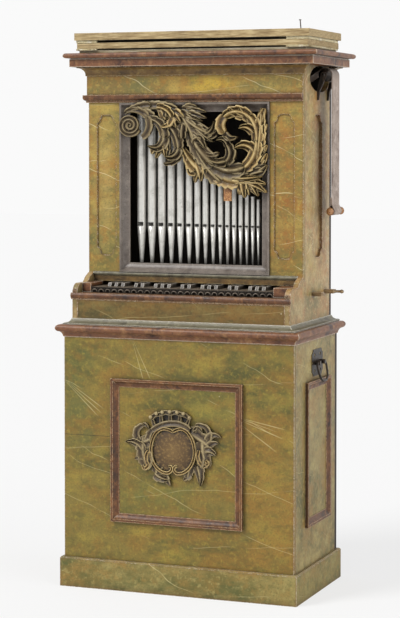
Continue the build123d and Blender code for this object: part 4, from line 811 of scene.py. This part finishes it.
def carve_scroll(mesh, wall_y, points, width_px, height, slot=0, painted_shade_band=False):
    """A band of one width along a smooth line that passes through all the pixels given."""
    spots = [on_wall(x, y, wall_y) for x, y in points]
    spots = [spots[0], *spots, spots[-1]]
    line = []
    for a, b, c, d in zip(spots, spots[1:], spots[2:], spots[3:]):
        for i in range(6):
            s = i / 6
            twice = b * 2 + (c - a) * s + (a * 2 - b * 5 + c * 4 - d) * s**2
            twice += (b * 3 - a - c * 3 + d) * s**3
            line.append(twice / 2)
    line.append(spots[-1])
    last = len(line) - 1
    ends = [0.6 + 0.4 * min(1, (last - i) / 5, (i + 1) / 3) for i in range(last + 1)]
    halves = [width_px * PIXEL / 2 * end for end in ends]
    carve_band(mesh, wall_y, line, halves, [height * MM] * (last + 1), slot, 1, painted_shade_band=painted_shade_band)


def finish_carving(name, mesh, node):
    """Turns the bmesh into an object, smooth but for sharp edges, in place of the plain solid."""
    bmesh.ops.recalc_face_normals(mesh, faces=mesh.faces)
    for face in mesh.faces:
        face.smooth = True
    for edge in mesh.edges:
        edge.smooth = len(edge.link_faces) != 2 or edge.calc_face_angle(0) < math.radians(50)
    data = bpy.data.meshes.new(name)
    mesh.to_mesh(data)
    mesh.free()
    data.materials.append(bare_carving)
    data.materials.append(gilt_carving)
    piece = bpy.data.objects.new(name, data)
    bpy.context.scene.collection.objects.link(piece)
    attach(piece, "case")
    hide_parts(node)
    print(name, "has", len(data.polygons), "faces")


# %% The pipe shade, leaf by leaf
SHADE_LEAVES_PX = (
    (143, 137.5, 148.5, 117, -4.5, 5, 5.5, 12, "w"), (148.5, 117, 127, 111.5, -4, 5.5, 3.2, 12, "w"),
    (126, 113, 152, 105, 2, 3, 5.5, 14, "w"),
    (140, 110.5, 155, 117, 1, 6, 5, 10, "w"), (149, 106, 179, 109.5, 2, 6, 4, 13, "w"),
    (158, 107.5, 173.5, 117.5, 3, 6, 6, 15, "g"), (173.5, 116.5, 163, 126, 3.5, 6, 1.5, 17, "g"),
    (162, 109, 167, 120, 0, 7, 8, 11, "g"), (166.5, 112, 166.5, 117, 0, 3.5, 3.5, 17, "w"),
    (176, 111, 186, 118, 0.5, 6, 0.8, 15, "g"), (175, 115, 182.5, 122.5, 0.5, 5, 0.8, 16, "g"),
    (172, 119, 177.5, 128, 0.5, 6, 0.8, 15, "g"), (167, 121, 170, 128.5, 0, 5, 0.8, 15, "g"),
    (150.5, 119, 166, 138, 5, 5.5, 9, 13, "w"), (166, 137, 150, 145.5, 6, 9, 1.5, 15, "w"),
    (160, 147, 157, 158, 0, 7, 0.8, 12, "g"), (164, 145, 167.5, 158, 0, 7, 0.8, 13, "g"),
    (155, 146.5, 152.5, 154, 0, 6, 0.8, 12, "g"), (170, 126, 180, 149, 3, 8, 8, 14, "w"),
    (180, 148, 168, 156, 4, 8, 3, 16, "w"), (168, 128, 170, 150, -1.5, 6, 4, 11, "w"),
    (170, 149, 168.5, 157, 0, 4, 3, 12, "w"), (181, 151, 165, 163, 4, 7, 2.5, 11, "w"),
    (178, 149, 184, 156.5, 0, 6, 0.8, 12, "w"), (184, 124, 184, 138.5, 0, 7, 6, 17, "w"),
    (178, 122, 192, 128, 1, 8, 7, 11, "w"), (180, 112, 196, 140, 1, 9, 10, 12, "w"),
    (194, 137, 216, 164, -2.5, 10, 12, 15, "w"), (215, 163, 246, 167, -5, 12, 9, 16, "w"),
    (245, 168, 258, 141, -4, 9, 9, 15, "g"), (258, 142, 250.5, 116, -3, 9, 8, 15, "g"),
    (251, 117, 226, 117, -5, 8, 6, 17, "g"), (226, 116, 226, 133.5, -4, 6, 5, 18, "g"),
    (226, 133, 238.5, 137, -3, 5, 2, 19, "w"), (205, 158, 250, 173, -5, 10, 9, 12, "w"),
    (257, 165, 262.5, 108, -1.5, 10, 4, 13, "g"), (252, 119, 240.5, 105, 1, 8, 1.5, 14, "g"),
    (245, 116, 230.5, 105.5, 1, 8, 1.5, 15, "g"), (237, 113, 228.5, 111, 0, 5, 1, 14, "g"),
    (259, 127, 266, 108.5, 0, 6, 2, 15, "g"), (261, 152, 268, 145, 0, 7, 0.8, 13, "g"),
    (262, 162, 268, 153.5, 0, 7, 0.8, 13, "g"), (259, 172, 268, 165, 0, 9, 1, 12, "w"),
    (255, 133, 241, 128.5, -3, 8, 1.5, 17, "g"), (256, 152, 237, 148, -4.5, 9, 2, 17, "g"),
    (250, 175, 264, 171, 0, 9, 5, 11, "w"), (262, 132, 267.5, 124, 0, 6, 0.8, 12, "g"),
    (206, 153.5, 228, 161, -4.5, 3, 8, 17, "w"), (227, 162, 229.5, 145, -4, 8, 7, 18, "w"),
    (229.5, 147, 219, 140.5, -4, 6.5, 1.5, 19, "w"), (204, 150.5, 220, 153, -3, 2, 3.5, 14, "w"),
    (183, 109, 207, 112, 0.5, 6, 1, 11, "w"), (190, 113, 207, 118, 0, 6, 0.8, 12, "w"),
    (187, 107.5, 198, 107, 1, 5, 1.5, 14, "w"), (186, 117, 203, 121, 0, 7, 0.8, 12, "w"),
    (188, 120, 212, 134, -1, 9, 6, 13, "w"), (206, 134, 216, 121.5, -3, 7, 1.2, 16, "w"),
    (210, 135, 222, 126, -2, 7, 1.2, 15, "w"), (196, 128, 214, 142, 0, 9, 0.8, 13, "w"),
    (194, 134, 207, 148, 1, 10, 2, 14, "w"), (189, 126, 201, 151, -1, 9, 6, 11, "w"),
    (202, 141, 196, 144, -2, 5, 3, 17, "w"), (184, 147.5, 199, 168, -1, 3.5, 12, 14, "g"),
    (196, 163, 202.5, 181, 1, 12, 1, 15, "g"), (192, 158, 191, 171, -1, 6, 3, 12, "g"),
    (190, 169, 198, 174, -2, 4, 2, 14, "g"), (198, 170, 196, 182.5, 0, 5, 0.8, 13, "g"),
    (201, 168, 207, 175, 0, 9, 3, 12, "g"), (198, 151, 222, 181, -2, 8, 10, 13, "w"),
    (214, 172, 241, 181, -1.5, 12, 10, 13, "g"), (234, 178, 263, 176.5, -0.8, 7, 1, 15, "g"),
    (238, 184, 266.5, 184, 1, 8, 3, 13, "g"), (249, 184, 267.5, 192.5, 1, 8, 1, 14, "g"),
    (242, 183, 246, 197.5, 0, 9, 1, 15, "g"), (252, 186, 259, 196, 0.5, 7, 0.8, 13, "g"),
    (241, 187, 240.5, 195, 0, 5, 0.8, 12, "g"), (246, 188, 250, 195, 0, 5, 0.8, 13, "g"),
)
VOLUTE_PX, VOLUTE_TURNS, VOLUTE_STEPS = (131, 125.3), 2.4, 39
VOLUTE_START, VOLUTE_RADIUS_PX, VOLUTE_EYE_PX = math.radians(25), 9.6, 0.4
shade_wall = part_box("pipe_shade")[1][1]
mesh = bmesh.new()
carve_leaves(mesh, shade_wall, SHADE_LEAVES_PX, 1.6)
spiral = []
for i in range(VOLUTE_STEPS + 1):
    share = i / VOLUTE_STEPS
    angle = VOLUTE_START + 2 * math.pi * VOLUTE_TURNS * share
    radius = VOLUTE_RADIUS_PX * (1 - share) ** 0.85 + VOLUTE_EYE_PX
    spiral.append((VOLUTE_PX[0] + radius * math.cos(angle), VOLUTE_PX[1] + radius * math.sin(angle)))
carve_scroll(mesh, shade_wall, spiral, 4.6, 21)
finish_carving("carved_shade", mesh, "pipe_shade")

# %% The cartouche: leaves, the field of the shield, and its rim in two scrolls
CARTOUCHE_LEAVES_PX = (
    (139.5, 441, 145, 424.5, 5, 5, 3.5, 13, "w"), (144, 424.3, 149, 428, 1.5, 3.5, 1.5, 14, "w"),
    (160, 433, 140, 443, 1, 9, 8, 9, "w"), (144, 437, 147.5, 466, -1.5, 10, 7, 11, "w"),
    (144, 451, 126.5, 441.5, -4, 8, 1, 14, "w"), (146, 467, 150, 450, -3, 6, 3, 15, "w"),
    (144, 456, 135.5, 458, 0, 5, 0.8, 11, "w"), (155, 430, 151, 441, -1, 6, 8, 10, "w"),
    (156, 463, 157, 473, 1, 7, 8, 10, "w"), (156, 473, 171, 479, -1.5, 8, 1, 13, "w"),
    (165, 475, 171, 486, 0, 6, 0.8, 12, "w"), (158, 477, 162, 482, 0, 5, 1, 11, "w"),
    (209, 442, 197, 424.5, -7, 4.5, 3, 15, "w"), (197, 425, 193.5, 429.5, 1.5, 3, 1.5, 14, "w"),
    (195, 432.5, 203, 431, 4, 3, 2.5, 14, "w"), (188, 433, 209, 446, 1, 11, 9, 9, "w"),
    (208, 441, 222, 437.5, 4, 6, 1.2, 14, "w"), (209, 447, 219.5, 443, 1.5, 6, 1.2, 12, "w"),
    (206, 452, 216.5, 455, 1.5, 8, 2, 12, "w"), (203, 442, 208, 468, -1, 11, 8, 11, "w"),
    (200.5, 451, 200.5, 466, 2, 4, 5, 15, "w"), (193, 463, 189, 478, -1, 8, 5, 10, "w"),
    (198, 466, 201, 486, 1.5, 9, 0.8, 13, "w"), (191, 474, 184, 480, 0, 6, 1, 12, "w"),
)
LEFT_RIM_PX = (
    (174.5, 431.5), (171, 429.5), (165, 428.3), (159.5, 430.5), (155.2, 436), (152.8, 444), (152.4, 452),
    (153.8, 460), (158, 467), (163.5, 471.3), (169.5, 472.4), (173, 469.5), (172.6, 466.3), (170, 465.6),
)
RIGHT_RIM_PX = (
    (174, 431.5), (177.5, 429.5), (183, 428.5), (188.3, 431.5), (192.6, 437.5), (195.2, 445), (195.9, 453),
    (194.4, 461), (190.4, 468), (184.6, 472.3), (178.6, 473), (175.4, 470), (176, 466.8), (178.6, 466),
)
SIDE_SCROLL_PX = (
    ((150, 450), (147.5, 455), (148, 461), (149.5, 465), (146, 468), (144, 464.5)),
    ((200, 450), (199, 456), (201, 462), (205, 466), (209, 463), (206.5, 460)),
)
panel_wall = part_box("cartouche")[1][1]
FIELD_RINGS, FIELD_STEPS = 12, 72
FIELD_CENTRE_PX, FIELD_HALVES_PX = (174.2, 450.5), (20.5, 21.0)
FIELD_HEIGHT, FIELD_FALL = 13, 5  # in millimetres: at its centre, and from there down to its rim
mesh = bmesh.new()
carve_leaves(mesh, panel_wall, CARTOUCHE_LEAVES_PX, 1.1)
hollow = mesh.verts.layers.float.get("hollow")
middle = on_wall(*FIELD_CENTRE_PX, panel_wall)
rings = []
for i in range(1, FIELD_RINGS + 1):
    share = i / FIELD_RINGS
    face_y = panel_wall - (FIELD_HEIGHT - FIELD_FALL * share**2) * MM
    ring = []
    for j in range(FIELD_STEPS):
        angle = 2 * math.pi * j / FIELD_STEPS
        across = share * FIELD_HALVES_PX[0] * PIXEL * math.cos(angle)
        up = share * FIELD_HALVES_PX[1] * PIXEL * math.sin(angle)
        vertex = mesh.verts.new((middle.x + across, face_y, middle.y + up))
        vertex[hollow] = 0.62 + 0.3 * share
        ring.append(vertex)
    rings.append(ring)
rings.append([mesh.verts.new((v.co.x, panel_wall, v.co.z)) for v in rings[-1]])
for inner, outer in zip(rings, rings[1:]):
    for j in range(FIELD_STEPS):
        k = (j + 1) % FIELD_STEPS
        mesh.faces.new((inner[j], inner[k], outer[k], outer[j])).material_index = 1
mesh.faces.new(rings[0]).material_index = 1
mesh.faces.new(rings[-1])
for rim in (LEFT_RIM_PX, RIGHT_RIM_PX):
    carve_scroll(mesh, panel_wall, rim, 3.2, 19, slot=1)
for scroll in SIDE_SCROLL_PX:
    carve_scroll(mesh, panel_wall, scroll, 4, 17, slot=1)
finish_carving("carved_cartouche", mesh, "cartouche")

# %% The crown: a circlet with its lower edge, an upper arc, posts between them, and a row of beads
CIRCLET_PX = ((153.5, 430), (160, 426.3), (167, 423.8), (174, 423.2), (181, 424), (187, 426.6), (191, 429.5))
UPPER_ARC_PX = (
    (152, 418.5), (156.5, 414.5), (161.5, 413.8), (166.5, 412), (171.5, 413), (176.5, 412), (181.5, 413.8),
    (186.5, 415), (191.3, 419),
)
LOWER_EDGE_PX = ((157, 430.5), (165, 428), (174, 427.2), (182, 428), (188, 430.5))
HOLLOW_PX = ((154, 421), (162, 418), (171.5, 417.3), (181, 418), (189.5, 422))
POSTS_PX = (
    ((156, 427), (153.3, 418)), ((163, 424), (162, 414)), ((171.6, 422), (171.4, 413)),
    ((180.6, 423), (181.4, 414)), ((187.4, 426), (190.4, 419)),
)
BEADS_PX = (
    (152.3, 416.5), (158, 413), (164, 411.6), (171.3, 411.2), (178.8, 411.8), (185, 413.2), (191, 417.5),
)
BEAD_RADIUS, BEAD_HEIGHT = 6.5 * MM, 14 * MM
mesh = bmesh.new()
carve_scroll(mesh, panel_wall, CIRCLET_PX, 6.4, 18)
carve_scroll(mesh, panel_wall, UPPER_ARC_PX, 4.4, 17)
carve_scroll(mesh, panel_wall, LOWER_EDGE_PX, 2.2, 12)
for post in POSTS_PX:
    carve_scroll(mesh, panel_wall, post, 4.4, 16)
# A low band wholly in the darkest colour: painted shade in the hollow between the circlet and the upper arc.
carve_scroll(mesh, panel_wall, HOLLOW_PX, 9, 3, painted_shade_band=True)
for px, py in BEADS_PX:
    spot = on_wall(px, py, panel_wall)
    place = Matrix.Translation((spot.x, panel_wall - BEAD_HEIGHT, spot.y))
    bmesh.ops.create_icosphere(mesh, subdivisions=3, radius=BEAD_RADIUS, matrix=place)
finish_carving("carved_crown", mesh, "crown")

# %% [markdown]
# The studio is white paper without an edge. The sun is wide, so shadows are soft, and a second wide sun
# lights the right side. White surfaces come out white at this level, so a colour renders about as it is
# written. Camera rays see the paper mostly in its own white, which keeps the shadow faint and hides the
# horizon.

# %% Floor
SHARE_OF_OWN_WHITE = 0.72
bpy.ops.object.select_all(action="DESELECT")
bpy.ops.mesh.primitive_plane_add(size=1, location=(0, 0, 0))
floor = bpy.context.active_object
floor.name = "studio_floor"
floor.scale = (60, 60, 1)
bpy.ops.object.transform_apply(location=True, rotation=True, scale=True)


def paper(tree, place):
    white = glaze(tree, "#F2F2F2", "#F6F6F6", clouds(tree, place, 3, 0.0, 1.0))
    return {"Base Color": white, "Roughness": 1.0, "Specular IOR Level": 0.0}


floor_paint = finish("white_studio_paper", paper)
tree = floor_paint.node_tree
seen = add(tree, "ShaderNodeLightPath", {}, out="Is Camera Ray")
share = add(tree, "ShaderNodeMath", {0: seen, 1: SHARE_OF_OWN_WHITE}, operation="MULTIPLY")
own_white = add(tree, "ShaderNodeEmission", {"Color": "#FBFBFB", "Strength": 1.0})
both = add(tree, "ShaderNodeMixShader", {0: share, 1: tree.nodes["Principled BSDF"].outputs[0], 2: own_white})
tree.links.new(both, tree.nodes["Material Output"].inputs["Surface"])
floor.data.materials.append(floor_paint)
print("floor:", floor.name)

# %% Air and two wide suns
world = bpy.data.worlds.new("studio_air")
bpy.context.scene.world = world
world.use_nodes = True
tree = world.node_tree
tree.nodes["Background"].inputs["Color"].default_value = linear("#F4F4F4")
tree.nodes["Background"].inputs["Strength"].default_value = 0.52
camera_ray = add(tree, "ShaderNodeLightPath", {}, out="Is Camera Ray")
glossy_ray = add(tree, "ShaderNodeLightPath", {}, out="Is Glossy Ray")
seen = add(tree, "ShaderNodeMath", {0: camera_ray, 1: glossy_ray}, operation="MAXIMUM")
backdrop = add(tree, "ShaderNodeBackground", {"Color": "#FAFAFA", "Strength": 1.0})
either = add(tree, "ShaderNodeMixShader", {0: seen, 1: tree.nodes["Background"].outputs[0], 2: backdrop})
tree.links.new(either, tree.nodes["World Output"].inputs["Surface"])

# Each sun has its angle in degrees, its strength and the way its light goes.
SUNS = (
    ("wide_sun_from_upper_left", 24, 2.0, (0.6, 0.75, -0.8)),
    ("wide_sun_from_the_right", 60, 1.2, (-0.95, 0.25, -0.3)),
)
for name, angle, strength, direction in SUNS:
    data = bpy.data.lights.new(name, "SUN")
    data.angle, data.energy = math.radians(angle), strength
    sun = bpy.data.objects.new(name, data)
    bpy.context.scene.collection.objects.link(sun)
    sun.rotation_euler = Vector(direction).to_track_quat("-Z", "Y").to_euler()
print("camera, air and suns are set")
